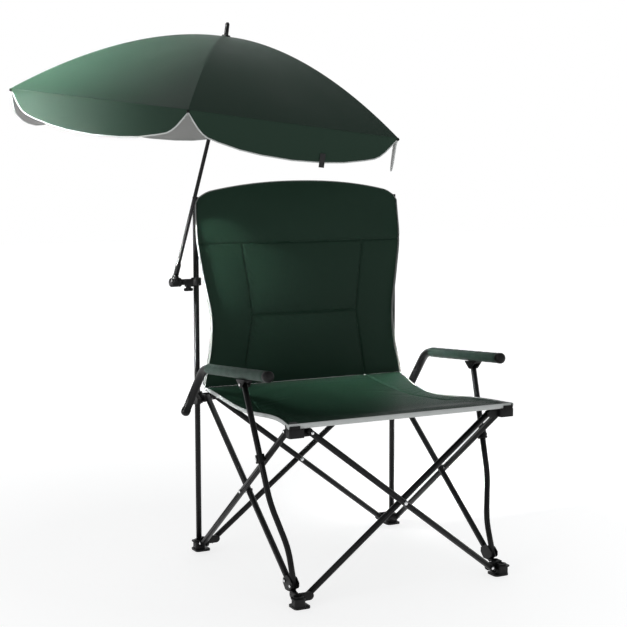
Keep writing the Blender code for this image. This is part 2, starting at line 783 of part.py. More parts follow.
for sideSign, side in ((-1, "left"), (1, "right")):
    makeAnkle(side, sideSign)
    makeUpright(side, sideSign)
    makeSleeve(side, sideSign)
    makeCornerBlock(side, sideSign)
    makeSlider(side, sideSign)
    makeArm(side, sideSign)
    makeSaddle(side, sideSign)
    x = sideSign * poleX
    pole = rod((x, poleY, poleBottomZ), (x, poleY, poleTopZ), poleRadius, roundSides)
    publish(pole, "back_pole_" + side, blackSteel, (sideSign * poleX, poleY, 0.0))


# Cloth: a slung seat and a back that narrows at its waist

seatRows = 16
seatColumns = 16
seatFlatShare = 0.05
seatWaistShare = 0.10
dipSkewShare = 1.4
sagSkewShare = 0.85
dipPower = 1.5
creaseDepth = 0.0020
creasePlaceShare = 0.18
creaseSpreadShare = 0.16
creaseCount = 4


def seatPoint(u, v):
    """u runs from the front edge to the fold, v from left to right; the middle sags and the sides dip."""
    across = 2 * v - 1
    inward = max(0.0, u - seatFlatShare) / (1 - seatFlatShare)
    waist = seatWaistShare * (1 - (2 * u - 1) ** 2) * abs(across) ** 3
    x = across * (seatFrontX + (foldX - seatFrontX) * u) * (1 - waist)
    y = seatFrontY + (foldY - seatFrontY) * u
    level = seatEdgeZ + (foldZ - gap - clothThickness - seatEdgeZ) * inward
    dip = seatSideDip * math.sin(math.pi * inward ** dipSkewShare) ** dipPower * across ** 2
    middle = 1 - across ** 2
    sag = seatSag * math.sin(math.pi * inward ** sagSkewShare) * middle
    fading = math.exp(-((u - creasePlaceShare) / creaseSpreadShare) ** 2)
    ripple = math.cos(math.pi * creaseCount * across) * fading
    return (x, y, level - dip - sag - creaseDepth * ripple * middle * min(1.0, inward / creasePlaceShare))


def makeSeat():
    grid = [[seatPoint(r / (seatRows - 1), c / (seatColumns - 1)) for c in range(seatColumns)]
            for r in range(seatRows)]
    return publish(clothSolid(grid, clothThickness), "seat_cloth", greenCloth)


# Places up the poles from the fold as shares of their height, with the half width as a share of theirs,
# and the distance before the poles as a share of the fold's
backRows = 16
backColumns = 15
backEdgeShares = ((0.0, 0.993), (0.188, 0.918), (0.368, 0.900), (0.569, 0.960),
                  (0.755, 1.010), (0.910, 1.007), (1.110, 0.990))
backForwardShares = ((0.368, 1.043), (0.755, 0.757), (0.910, 0.495))
hollowStartShare = 0.62
poleContact = poleRadius + gap + clothThickness + backHollow / 2
backForwards = [(0.0, foldForwards + clothThickness + gap)]
backForwards += [(place, share * foldForwards) for place, share in backForwardShares]
backForwards += [(1.0, poleContact)]


def backPoint(u, v):
    """u runs from the fold to the top, v from right to left; the top edge is an arc."""
    across = 1 - 2 * v
    top = poleTopZ + backTopAbove + (backCrownAbove - backTopAbove) * (1 - across ** 2)
    z = foldZ + (top - foldZ) * u
    place = (z - foldZ) / (poleTopZ - foldZ)
    hollow = backHollow * (across ** 2 - (1 - across ** 2)) / 2 * min(1.0, u / hollowStartShare)
    x = across * poleX * readTable(backEdgeShares, place)
    return (x, poleY - readTable(backForwards, place) + hollow, z)


def makeBack():
    grid = [[backPoint(r / (backRows - 1), c / (backColumns - 1)) for c in range(backColumns)]
            for r in range(backRows)]
    return publish(clothSolid(grid, clothThickness), "back_cloth", greenCloth)


makeSeat()
makeBack()


# Umbrella: a clamp on the left back pole, a leaning pole with a tilt joint, six ribs and the canopy

clampArmHalfDepth = 0.0055
clampArmHalfHeight = 0.0075
shoulderLength = 0.0100
shoulderShares = ((0.0, 1.0), (0.40, 1.0), (1.0, 0.60))
jawStart = 0.0060
jawEnd = 0.0300
jawHalf = 0.0075
jawDepth = 0.0125
screwOutwards = 0.0220
screwLength = 0.0110
screwRadius = 0.0070
screwShares = ((0.0, 0.93), (0.36, 1.0), (0.82, 0.79), (1.0, 0.43))
wingHalfSpan = 0.0125
wingHalfHeight = 0.0042
wingHalfThickness = 0.0020
wingCorner = 0.0035
wingDrop = 0.0075
knuckleLength = 0.0240
knuckleShares = ((0.0, 0.75), (0.13, 1.0), (0.87, 1.0), (1.0, 0.95))
knuckleSeatShare = 0.80
collarLengthShare = 1.5
collarRadiusShare = 1.25
ferruleTaper = 0.0040
tiltRadius = 0.0095
tiltPlateShare = 0.80
tiltNeckShare = 0.85
tiltNeckStart = 0.0220
tiltNeckRise = 0.0020
tiltNeckEnd = 0.0040
tiltSlack = 0.0008
tongueHalf = 0.0030
cheekPlate = 0.0030
bridgeRadius = 0.0014
bridgeSides = 8
forkStart = 0.0005
forkLength = 0.0180
forkShares = ((0.0, 0.95), (0.78, 0.95), (1.0, 0.66))
forkSeat = 0.0040

canopyAxis = Vector((*canopyLeanShares, 1.0)).normalized()
clampCentre = Vector((-poleX, poleY, clampZ))
knuckleCentre = Vector((knuckleX, poleY, clampZ))
tiltCentre = clampCentre + Vector((tiltInwards, -tiltForwards, tiltAbove))
rimCentre = clampCentre + Vector((rimInwards, -rimForwards, rimAbove))
apex = rimCentre + canopyAxis * canopyRise
poleAxis = (apex - tiltCentre).normalized()
lowerAxis = (tiltCentre - knuckleCentre).normalized()
tiltAxis = poleAxis.cross(Vector((1, 0, 0))).normalized()


def makeClamp():
    half = Vector((0, 0, clampHeight / 2))
    made = rod(clampCentre - half, clampCentre + half, clampOuter, roundSides)
    armEnd = knuckleX + knuckleLength / 2 + gap
    arm = box((armEnd, poleY - clampArmHalfDepth, clampZ - clampArmHalfHeight),
              (-poleX, poleY + clampArmHalfDepth, clampZ + clampArmHalfHeight))
    shoulderProfile = scaled(shoulderShares, shoulderLength, knuckleRadius)
    shoulder = turned((armEnd, poleY, clampZ), (1, 0, 0), shoulderProfile)
    jaw = box((-poleX - jawEnd, poleY - jawHalf, clampZ - jawDepth),
              (-poleX - jawStart, poleY + jawHalf, clampZ))
    combine(made, [arm, shoulder, jaw])
    bore = rod(clampCentre - half * 2, clampCentre + half * 2, poleRadius + gap, roundSides)
    combine(made, [bore], "DIFFERENCE")
    return publish(made, "umbrella_clamp", blackPlastic, clampCentre)


def makeClampScrew():
    """A wing screw under the clamp's jaw."""
    place = clampCentre - Vector((screwOutwards, 0, jawDepth + gap))
    made = turned(place, (0, 0, -1), scaled(screwShares, screwLength, screwRadius), middleSides)
    wings = prism(roundedOutline(place.x, place.z - wingDrop, wingHalfSpan, wingHalfHeight, wingCorner), "y",
                  place.y - wingHalfThickness, place.y + wingHalfThickness)
    combine(made, [wings])
    return publish(made, "clamp_screw", blackPlastic, place)


def makeKnuckle():
    half = Vector((knuckleLength / 2, 0, 0))
    made = turned(knuckleCentre - half, (1, 0, 0), scaled(knuckleShares, knuckleLength, knuckleRadius))
    collar = rod(knuckleCentre, knuckleCentre + lowerAxis * knuckleRadius * collarLengthShare,
                 ferruleRadius * collarRadiusShare, roundSides)
    combine(made, [collar])
    bore = rod(knuckleCentre + lowerAxis * knuckleRadius * knuckleSeatShare,
               knuckleCentre + lowerAxis * (knuckleRadius + overrun), umbrellaPoleRadius + gap)
    combine(made, [bore], "DIFFERENCE")
    return publish(made, "umbrella_knuckle", blackPlastic, knuckleCentre)


def makeLowerPole():
    start = knuckleCentre + lowerAxis * (knuckleRadius * knuckleSeatShare + gap)
    reach = knuckleRadius * (collarLengthShare - knuckleSeatShare)
    length = (tiltCentre - start).length
    neck = length - tiltNeckStart
    profile = [(0.0, umbrellaPoleRadius), (reach, umbrellaPoleRadius), (reach, ferruleRadius),
               (reach + ferruleLength, ferruleRadius),
               (reach + ferruleLength + ferruleTaper, umbrellaPoleRadius),
               (neck, umbrellaPoleRadius), (neck + tiltNeckRise, tiltRadius * tiltNeckShare),
               (length - tiltNeckEnd, tiltRadius * tiltNeckShare)]
    made = turned(start, lowerAxis, profile, middleSides)
    tongue = rod(tiltCentre - tiltAxis * tongueHalf, tiltCentre + tiltAxis * tongueHalf,
                 tiltRadius * tiltPlateShare)
    near, far = tiltAxis * tongueHalf, tiltAxis * (tongueHalf + overrun)
    clear = [rod(tiltCentre + near * side, tiltCentre + far * side, tiltRadius + tiltSlack, roundSides)
             for side in (-1, 1)]
    combine(made, [tongue])
    combine(made, clear, "DIFFERENCE")
    return publish(made, "umbrella_lower_pole", blackSteel, knuckleCentre)


def makeTiltFork():
    """A socket for the upper pole on two cheeks beside the lower pole's tongue."""
    forkProfile = scaled(forkShares, forkLength, tiltRadius)
    made = turned(tiltCentre + poleAxis * (tiltRadius + forkStart), poleAxis, forkProfile)
    pieces = []
    for sign in (-1, 1):
        outwards = tiltAxis * sign
        start = tiltCentre + outwards * (tongueHalf + gap)
        middle = start + outwards * cheekPlate / 2
        pieces.append(rod(start, start + outwards * cheekPlate, tiltRadius * tiltPlateShare))
        pieces.append(rod(middle, middle + poleAxis * (tiltRadius + forkSeat), bridgeRadius, bridgeSides))
    combine(made, pieces)
    low = tiltCentre + poleAxis * (tiltRadius + forkSeat)
    high = tiltCentre + poleAxis * (tiltRadius + overrun)
    bore = rod(low, high, umbrellaPoleRadius + gap)
    combine(made, [bore], "DIFFERENCE")
    return publish(made, "tilt_fork", blackPlastic, tiltCentre)


# Ribs turn out of the crown's underside; stretchers run from them to the runner on the upper pole

crownHeight = 0.0100
crownRadius = 0.0115
crownNeck = 0.0030
crownWasher = 0.0035
crownShoulder = 0.0020
crownRimShare = 0.88
spikeTipShare = 0.50
spikeTaper = 0.0040
ribDrop = 0.0035
rootStart = 0.0140
ribRootRadius = 0.0145
ribDepth = 0.0048
ribSteps = 9
ribEndShare = 0.985
ribSides = 8
stretcherRadius = 0.0017
stretcherAttach = 0.1000
stretcherFoot = 0.0160
runnerDrop = 0.0850
runnerRadius = 0.0085
runnerFlange = 0.0104
runnerHeight = 0.0220
flangeHalf = 0.0030
heading = Vector((math.cos(canopyHeading), math.sin(canopyHeading), 0.0))
headingU = (heading - canopyAxis * canopyAxis.dot(heading)).normalized()
headingV = canopyAxis.cross(headingU)
runnerCentre = apex - poleAxis * runnerDrop


def ribDirection(number):
    turn = 2 * math.pi * number / ribCount
    return headingU * math.cos(turn) + headingV * math.sin(turn)


def domeDrop(share):
    return canopyRise * share ** canopyPower


def ribPoint(number, radius):
    """A point on a rib's centre line, a set depth below the cloth and square to it."""
    share = radius / canopyRadius
    slope = math.atan(canopyRise * canopyPower * share ** (canopyPower - 1) / canopyRadius)
    out = radius - ribDepth * math.sin(slope)
    down = domeDrop(share) + ribDepth * math.cos(slope)
    return apex + ribDirection(number) * out - canopyAxis * down


def makeUpperPole():
    start = tiltCentre + poleAxis * (tiltRadius + forkSeat + gap)
    end = apex - poleAxis * (crownHeight + ribDrop + gap)
    return publish(rod(start, end, umbrellaPoleRadius), "umbrella_upper_pole", blackSteel, tiltCentre)


def makeCrown():
    """Rib holder below the cloth, a neck through it, a washer above and the spike."""
    low = -crownHeight - ribDrop
    rim = crownRadius * crownRimShare
    profile = [(low, rim), (low + crownShoulder, crownRadius),
               (-crownNeck, crownRadius), (-crownNeck, spikeRadius),
               (gap, spikeRadius), (gap, crownRadius), (crownWasher, rim), (crownWasher, spikeRadius),
               (spikeLength - spikeTaper, spikeRadius), (spikeLength, spikeRadius * spikeTipShare)]
    return publish(turned(apex, canopyAxis, profile), "canopy_crown", blackPlastic, tiltCentre)


def makeRib(number):
    end = canopyRadius * ribEndShare
    path = [ribPoint(number, rootStart + (end - rootStart) * step / ribSteps) for step in range(ribSteps + 1)]
    return publish(sweep(path, ribRadius, ribSides), "rib_%d" % (number + 1), blackSteel,
                   ribPoint(number, ribRootRadius))


def makeStretcher(number):
    top = ribPoint(number, stretcherAttach) - canopyAxis * (ribRadius + stretcherRadius + gap)
    foot = runnerCentre + ribDirection(number) * stretcherFoot
    return publish(rod(foot, top, stretcherRadius, ribSides), "stretcher_%d" % (number + 1), blackSteel, top)


def makeRunner():
    half = runnerHeight / 2
    made = turned(runnerCentre, poleAxis, [(-half, runnerRadius), (-flangeHalf, runnerRadius),
                                           (-flangeHalf, runnerFlange), (flangeHalf, runnerFlange),
                                           (flangeHalf, runnerRadius), (half, runnerRadius)])
    bore = rod(runnerCentre - poleAxis * runnerHeight, runnerCentre + poleAxis * runnerHeight,
               umbrellaPoleRadius + gap, roundSides)
    combine(made, [bore], "DIFFERENCE")
    return publish(made, "umbrella_runner", blackPlastic, runnerCentre)


canopyRingShares = (0.026, 0.10, 0.25, 0.40, 0.55, 0.70, 0.85, 1.0)
flapShares = (0.5, 1.0)
strapPanel = 0
strapShare = 0.64
strapHalfWidth = 0.0070
strapBelow = 0.0090
strapAbove = 0.0250
strapThickness = 0.0012


def rimward(number, share):
    """Square to the canopy's axis, towards a place between one rib and the next."""
    return ribDirection(number) * (1 - share) + ribDirection(number + 1) * share


def makeCanopy():
    """Six panels between the ribs, each with a hanging flap whose corners are cut away."""
    columns = [(rimward(number, share) * canopyRadius, depth)
               for number in range(ribCount) for share, depth in valanceShares]
    rows = [[apex + out * ring - canopyAxis * domeDrop(ring) for out, _ in columns]
            for ring in canopyRingShares]
    rows += [[apex + out - canopyAxis * (canopyRise + valanceDepth * depth * drop) for out, depth in columns]
             for drop in flapShares]
    return publish(clothSolid(rows, canopyThickness, True), "canopy", greenCloth, tiltCentre, 20.0)


def makeStrap():
    """The closing strap's end, hanging just inside one flap and a little below it."""
    along = (ribDirection(strapPanel + 1) - ribDirection(strapPanel)).normalized()
    inwards = canopyAxis.cross(along)
    middle = apex + rimward(strapPanel, strapShare) * canopyRadius - canopyAxis * (canopyRise + valanceDepth)
    start = middle + inwards * (canopyThickness + 2 * gap)
    work = bmesh.new()
    corners = [start + along * (side * strapHalfWidth) + canopyAxis * height
               for side, height in ((-1, -strapBelow), (1, -strapBelow), (1, strapAbove), (-1, strapAbove))]
    closeRings(work, [[work.verts.new(place + inwards * depth) for place in corners]
                      for depth in (0.0, strapThickness)])
    return publish(scratch("strap", work), "canopy_strap", blackWeb, tiltCentre)


makeClamp()
makeClampScrew()
makeKnuckle()
makeLowerPole()
makeTiltFork()
makeUpperPole()
makeCrown()
makeRunner()
for ribNumber in range(ribCount):
    makeRib(ribNumber)
    makeStretcher(ribNumber)
makeCanopy()
makeStrap()
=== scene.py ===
import json
import math

import bmesh
import bpy
import numpy as np
from mathutils import Matrix, Vector


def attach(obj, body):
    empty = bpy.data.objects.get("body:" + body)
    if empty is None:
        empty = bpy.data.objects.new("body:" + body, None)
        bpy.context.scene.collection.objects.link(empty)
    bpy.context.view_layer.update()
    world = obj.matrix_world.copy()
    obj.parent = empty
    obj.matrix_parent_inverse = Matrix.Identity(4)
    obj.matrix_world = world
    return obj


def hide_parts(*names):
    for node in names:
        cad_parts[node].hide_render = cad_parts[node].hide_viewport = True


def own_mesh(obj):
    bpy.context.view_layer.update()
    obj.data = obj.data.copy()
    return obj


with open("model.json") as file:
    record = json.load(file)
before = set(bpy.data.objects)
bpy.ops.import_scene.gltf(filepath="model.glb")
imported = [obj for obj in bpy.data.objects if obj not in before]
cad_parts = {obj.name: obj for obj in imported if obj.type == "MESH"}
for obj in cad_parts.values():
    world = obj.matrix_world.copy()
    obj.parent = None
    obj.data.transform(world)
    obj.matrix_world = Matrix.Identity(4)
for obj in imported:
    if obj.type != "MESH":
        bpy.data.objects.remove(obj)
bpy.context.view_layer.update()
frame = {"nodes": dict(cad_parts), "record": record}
nodes = frame["nodes"]
chairShift = np.array([0.2961, -0.2879, 0.0])  # chair centre on the ground, in the row frame


# Camera

cameraPlace = {
    "eye": (-1.4019, -3.3599, 1.0321),
    "azimuth": 27.436,
    "elevation": 6.205,
    "roll": -0.11,
    "focalPixels": 1383.26,
    "picturePixels": 627,
    "sensor": 36.0,
}


def makeCamera(values):
    data = bpy.data.cameras.new("camera")
    data.sensor_width = values["sensor"]
    data.lens = values["sensor"] * values["focalPixels"] / values["picturePixels"]
    data.clip_start, data.clip_end = 0.1, 60.0
    made = bpy.data.objects.new("camera", data)
    bpy.context.scene.collection.objects.link(made)
    turn, lift, roll = (math.radians(values[k]) for k in ("azimuth", "elevation", "roll"))
    back = Vector((-math.sin(turn) * math.cos(lift), -math.cos(turn) * math.cos(lift), math.sin(lift)))
    right = Vector((math.cos(turn), -math.sin(turn), 0.0))
    up = back.cross(right)
    rolledRight = right * math.cos(roll) + up * math.sin(roll)
    rolledUp = up * math.cos(roll) - right * math.sin(roll)
    axes = Matrix((rolledRight, rolledUp, back)).transposed()
    made.matrix_world = Matrix.Translation(values["eye"]) @ axes.to_4x4()
    bpy.context.scene.camera = made


makeCamera(cameraPlace)
print("camera placed")


# Studio: pale floor, pale surroundings and soft lights

studio = {
    "floor": (0.34, 0.34, 0.34),
    "floorHalf": 14.0,
    "floorZ": -0.0006,
    "floorRoughness": 0.75,
    "floorSpecular": 0.2,
    "floorGlow": (0.76, 0.93, 0.5, 2.2),  # strength near and far, and the distances where it starts and ends
    "seen": (1.0, 1.0, 1.0),
    "fill": (0.30, 0.31, 0.315),
    "backdrop": (0.95, 0.96, 0.97),
    "backdropWay": (0.46, 0.87, 0.15),
    "backdropSpan": (0.60, 0.90),
    "lights": (  # name, place, aim, size, power and spread in degrees
        ("key", (-3.6, 0.1, 3.0), (-0.64, 0.16, 1.35), 0.6, 15.0, 12.0),
        ("side", (-3.6, -1.4, 1.6), (0.0, -0.2, 0.6), 1.2, 24.0, 180.0),
        ("rear", (-0.3, 3.0, 4.0), (0.0, -0.1, 1.1), 1.5, 8.0, 180.0),
        ("front", (1.6, -4.2, 2.0), (0.3, -0.3, 0.5), 2.0, 12.0, 180.0),
    ),
}


def makeStudio(values):
    world = bpy.data.worlds.new("studio")
    bpy.context.scene.world = world
    world.use_nodes = True
    tree = world.node_tree
    tree.nodes.clear()
    out = tree.nodes.new("ShaderNodeOutputWorld")
    mix = tree.nodes.new("ShaderNodeMixShader")
    path = tree.nodes.new("ShaderNodeLightPath")
    seen = tree.nodes.new("ShaderNodeBackground")
    fill = tree.nodes.new("ShaderNodeBackground")
    seen.inputs[0].default_value = (*values["seen"], 1.0)
    # Share of the pale backdrop: how far the ray's way points along backdropWay
    towards = tree.nodes.new("ShaderNodeVectorMath")
    towards.operation = "DOT_PRODUCT"
    tree.links.new(tree.nodes.new("ShaderNodeTexCoord").outputs["Generated"], towards.inputs[0])
    towards.inputs[1].default_value = values["backdropWay"]
    share = tree.nodes.new("ShaderNodeMapRange")
    tree.links.new(towards.outputs["Value"], share.inputs["Value"])
    share.inputs["From Min"].default_value, share.inputs["From Max"].default_value = values["backdropSpan"]
    blend = tree.nodes.new("ShaderNodeMix")
    blend.data_type = "RGBA"
    tree.links.new(share.outputs[0], blend.inputs["Factor"])
    blend.inputs[6].default_value = (*values["fill"], 1.0)
    blend.inputs[7].default_value = (*values["backdrop"], 1.0)
    tree.links.new(blend.outputs[2], fill.inputs[0])
    tree.links.new(path.outputs["Is Camera Ray"], mix.inputs[0])
    tree.links.new(fill.outputs[0], mix.inputs[1])
    tree.links.new(seen.outputs[0], mix.inputs[2])
    tree.links.new(mix.outputs[0], out.inputs[0])
    for name, place, aim, size, power, spread in values["lights"]:
        data = bpy.data.lights.new(name, "AREA")
        data.shape, data.size, data.energy = "DISK", size, power
        data.spread = math.radians(spread)
        lamp = bpy.data.objects.new(name, data)
        bpy.context.scene.collection.objects.link(lamp)
        lamp.location = place
        lamp.rotation_euler = (Vector(aim) - Vector(place)).to_track_quat("-Z", "Y").to_euler()
    bpy.context.scene.view_settings.view_transform = "Standard"
    bpy.context.scene.view_settings.look = "None"


makeStudio(studio)


# Materials. Every group reads coordinates and puts out only heights, masks and shades.

def linkNodes(tree, source, target):
    tree.links.new(source, target)


def mathNode(tree, operation, first, second=None, clamp=False):
    node = tree.nodes.new("ShaderNodeMath")
    node.operation = operation
    node.use_clamp = clamp
    for socket, value in zip(node.inputs, (first, second)):
        if value is None:
            continue
        if isinstance(value, (int, float)):
            socket.default_value = value
        else:
            tree.links.new(value, socket)
    return node.outputs[0]


def newGroup(name, inputs, outputs):
    tree = bpy.data.node_groups.new(name, "ShaderNodeTree")
    for label, kind, value in inputs:
        socket = tree.interface.new_socket(name=label, in_out="INPUT", socket_type=kind)
        if value is not None:
            socket.default_value = value
    for label, kind in outputs:
        tree.interface.new_socket(name=label, in_out="OUTPUT", socket_type=kind)
    return tree, tree.nodes.new("NodeGroupInput"), tree.nodes.new("NodeGroupOutput")


weaveValues = {"threads": 900.0, "chequer": 0.5}
grainValues = {"scale": 1200.0, "drift": 9.0, "detail": 2.0, "driftDetail": 3.0, "span": (0.3, 0.7)}
rubValues = {"scale": 60.0, "level": 0.66, "detail": 6.0, "distortion": 1.2, "edge": 9.0}


# Plain weave: warp and weft ridges |sin| of u and v, each on top in every other square of a chequer.
def makeWeaveGroup():
    tree, inside, out = newGroup(
        "plainWeave",
        (("Vector", "NodeSocketVector", None), ("Threads", "NodeSocketFloat", weaveValues["threads"])),
        (("Height", "NodeSocketFloat"), ("Shade", "NodeSocketFloat")),
    )
    split = tree.nodes.new("ShaderNodeSeparateXYZ")
    linkNodes(tree, inside.outputs["Vector"], split.inputs[0])
    u = mathNode(tree, "MULTIPLY", split.outputs[0], inside.outputs["Threads"])
    v = mathNode(tree, "MULTIPLY", split.outputs[1], inside.outputs["Threads"])
    ridges = []
    for value in (u, v):
        wave = mathNode(tree, "SINE", mathNode(tree, "MULTIPLY", value, math.pi))
        ridges.append(mathNode(tree, "ABSOLUTE", wave))
    squares = mathNode(tree, "ADD", mathNode(tree, "FLOOR", u), mathNode(tree, "FLOOR", v))
    parity = mathNode(tree, "PINGPONG", squares, 1.0)
    over = mathNode(tree, "MULTIPLY", ridges[0], parity)
    under = mathNode(tree, "MULTIPLY", ridges[1], mathNode(tree, "SUBTRACT", 1.0, parity))
    height = mathNode(tree, "ADD", over, under)
    linkNodes(tree, height, out.inputs["Height"])
    linkNodes(tree, mathNode(tree, "MULTIPLY", parity, weaveValues["chequer"]), out.inputs["Shade"])
    return tree


# Grain: fine noise for the height, with a slow noise for how the shade drifts over the piece.
def makeGrainGroup():
    tree, inside, out = newGroup(
        "fineGrain",
        (("Vector", "NodeSocketVector", None), ("Scale", "NodeSocketFloat", grainValues["scale"]),
         ("Drift", "NodeSocketFloat", grainValues["drift"])),
        (("Height", "NodeSocketFloat"), ("Drift", "NodeSocketFloat")),
    )
    fine = tree.nodes.new("ShaderNodeTexNoise")
    slow = tree.nodes.new("ShaderNodeTexNoise")
    fine.inputs["Detail"].default_value = grainValues["detail"]
    slow.inputs["Detail"].default_value = grainValues["driftDetail"]
    for noise, scale in ((fine, "Scale"), (slow, "Drift")):
        linkNodes(tree, inside.outputs["Vector"], noise.inputs["Vector"])
        linkNodes(tree, inside.outputs[scale], noise.inputs["Scale"])
    linkNodes(tree, fine.outputs[0], out.inputs["Height"])
    linkNodes(tree, slow.outputs[0], out.inputs["Drift"])
    return tree


# Rub: scattered marks where a bent noise passes a high level, with an edge as steep as its factor.
def makeRubGroup():
    tree, inside, out = newGroup(
        "rubMarks",
        (("Vector", "NodeSocketVector", None), ("Scale", "NodeSocketFloat", rubValues["scale"]),
         ("Level", "NodeSocketFloat", rubValues["level"])),
        (("Mask", "NodeSocketFloat"),),
    )
    noise = tree.nodes.new("ShaderNodeTexNoise")
    noise.inputs["Detail"].default_value = rubValues["detail"]
    noise.inputs["Distortion"].default_value = rubValues["distortion"]
    linkNodes(tree, inside.outputs["Vector"], noise.inputs["Vector"])
    linkNodes(tree, inside.outputs["Scale"], noise.inputs["Scale"])
    above = mathNode(tree, "SUBTRACT", noise.outputs[0], inside.outputs["Level"])
    linkNodes(tree, mathNode(tree, "MULTIPLY", above, rubValues["edge"], clamp=True), out.inputs["Mask"])
    return tree


weaveGroup = makeWeaveGroup()
grainGroup = makeGrainGroup()
rubGroup = makeRubGroup()


white = (1.0, 1.0, 1.0)
sheenRoughness = 0.45


def startMaterial(name, colour, roughness, metallic=0.0, sheen=0.0, sheenTint=white, specular=0.5):
    made = bpy.data.materials.new(name)
    made.use_nodes = True
    shader = made.node_tree.nodes["Principled BSDF"]
    shader.inputs["Base Color"].default_value = (*colour, 1.0)
    shader.inputs["Roughness"].default_value = roughness
    shader.inputs["Metallic"].default_value = metallic
    shader.inputs["Specular IOR Level"].default_value = specular
    shader.inputs["Sheen Weight"].default_value = sheen
    shader.inputs["Sheen Tint"].default_value = (*sheenTint, 1.0)
    shader.inputs["Sheen Roughness"].default_value = sheenRoughness
    made.diffuse_color = (*colour, 1.0)
    return made, made.node_tree, shader


def coordinates(tree, kind="Object"):
    return tree.nodes.new("ShaderNodeTexCoord").outputs[kind]


def placeGroup(tree, group, vector, **values):
    node = tree.nodes.new("ShaderNodeGroup")
    node.node_tree = group
    linkNodes(tree, vector, node.inputs["Vector"])
    for label, value in values.items():
        node.inputs[label].default_value = value
    return node


def tintByMask(tree, shader, mask, first, second):
    mix = tree.nodes.new("ShaderNodeMix")
    mix.data_type = "RGBA"
    linkNodes(tree, mask, mix.inputs["Factor"])
    mix.inputs[6].default_value = (*first, 1.0)
    mix.inputs[7].default_value = (*second, 1.0)
    linkNodes(tree, mix.outputs[2], shader.inputs["Base Color"])


# A noise's usual span, 0.3 to 0.7, laid out from low to high.
def rangeNode(tree, value, low, high):
    node = tree.nodes.new("ShaderNodeMapRange")
    linkNodes(tree, value, node.inputs["Value"])
    node.inputs["From Min"].default_value, node.inputs["From Max"].default_value = grainValues["span"]
    node.inputs["To Min"].default_value = low
    node.inputs["To Max"].default_value = high
    return node.outputs[0]


def bumpFrom(tree, shader, height, distance):
    bump = tree.nodes.new("ShaderNodeBump")
    bump.inputs["Distance"].default_value = distance
    bump.inputs["Strength"].default_value = 1.0
    linkNodes(tree, height, bump.inputs["Height"])
    linkNodes(tree, bump.outputs[0], shader.inputs["Normal"])


def makeHardMaterial(values):
    made, tree, shader = startMaterial(values["name"], values["colour"], values["roughness"][0],
                                       values["metallic"], specular=values["specular"])
    vector = coordinates(tree)
    grain = placeGroup(tree, grainGroup, vector, Scale=values["grain"], Drift=values["drift"])
    rub = placeGroup(tree, rubGroup, vector, Scale=values["rubScale"], Level=values["rubLevel"])
    roughness = rangeNode(tree, grain.outputs["Drift"], *values["roughness"])
    linkNodes(tree, roughness, shader.inputs["Roughness"])
    tintByMask(tree, shader, rub.outputs["Mask"], values["colour"], values["rubbed"])
    bumpFrom(tree, shader, grain.outputs["Height"], values["depth"])
    return made


clothShade = {"drift": 0.9, "whole": 0.7}


# Cloth: the shade is the weave's chequer plus a share of the slow drift, the bump its ridges plus some fuzz.
def makeClothMaterial(values):
    made, tree, shader = startMaterial(values["name"], values["colour"], values["roughness"][0],
                                       sheen=values.get("sheen", 0.0),
                                       sheenTint=values.get("sheenTint", white),
                                       specular=values["specular"])
    weave = placeGroup(tree, weaveGroup, coordinates(tree, "UV"), Threads=values["threads"])
    grain = placeGroup(tree, grainGroup, coordinates(tree), Scale=values["fuzz"], Drift=values["drift"])
    drift = mathNode(tree, "MULTIPLY", grain.outputs["Drift"], clothShade["drift"])
    shade = mathNode(tree, "ADD", weave.outputs["Shade"], drift)
    mask = mathNode(tree, "MULTIPLY", shade, clothShade["whole"], clamp=True)
    tintByMask(tree, shader, mask, values["dark"], values["colour"])
    roughness = rangeNode(tree, grain.outputs["Drift"], *values["roughness"])
    linkNodes(tree, roughness, shader.inputs["Roughness"])
    height = mathNode(tree, "ADD", weave.outputs["Height"],
                      mathNode(tree, "MULTIPLY", grain.outputs["Height"], values["fuzzShare"]))
    bumpFrom(tree, shader, height, values["depth"])
    return made


# Foam: small closed cells from a cell pattern, with a soft mottled shade.
def makeFoamMaterial(values):
    made, tree, shader = startMaterial(values["name"], values["colour"], values["roughness"][1],
                                       sheen=values["sheen"])
    vector = coordinates(tree)
    cells = tree.nodes.new("ShaderNodeTexVoronoi")
    cells.inputs["Scale"].default_value = values["cells"]
    linkNodes(tree, vector, cells.inputs["Vector"])
    grain = placeGroup(tree, grainGroup, vector, Scale=values["cells"] * 2.0, Drift=values["drift"])
    mottle = rangeNode(tree, grain.outputs["Drift"], 0.0, 1.0)
    tintByMask(tree, shader, mottle, values["dark"], values["colour"])
    roughness = rangeNode(tree, grain.outputs["Height"], *values["roughness"])
    linkNodes(tree, roughness, shader.inputs["Roughness"])
    bumpFrom(tree, shader, cells.outputs["Distance"], values["depth"])
    return made


hardLooks = {
    "steel_black": {
        "name": "powderCoat", "colour": (0.0050, 0.0050, 0.0053), "rubbed": (0.013, 0.013, 0.014),
        "roughness": (0.26, 0.34), "metallic": 0.0, "specular": 0.20, "grain": 1400.0, "drift": 12.0,
        "rubScale": 45.0, "rubLevel": 0.68, "depth": 0.00004,
    },
    "plastic_black": {
        "name": "mouldedPlastic", "colour": (0.0045, 0.0045, 0.0047), "rubbed": (0.011, 0.011, 0.012),
        "roughness": (0.40, 0.52), "metallic": 0.0, "specular": 0.22, "grain": 2200.0, "drift": 20.0,
        "rubScale": 70.0, "rubLevel": 0.70, "depth": 0.00006,
    },
    "rivet_steel": {
        "name": "brightSteel", "colour": (0.78, 0.78, 0.79), "rubbed": (0.55, 0.55, 0.56),
        "roughness": (0.20, 0.34), "metallic": 1.0, "specular": 0.5, "grain": 2600.0, "drift": 160.0,
        "rubScale": 500.0, "rubLevel": 0.60, "depth": 0.00002,
    },
}
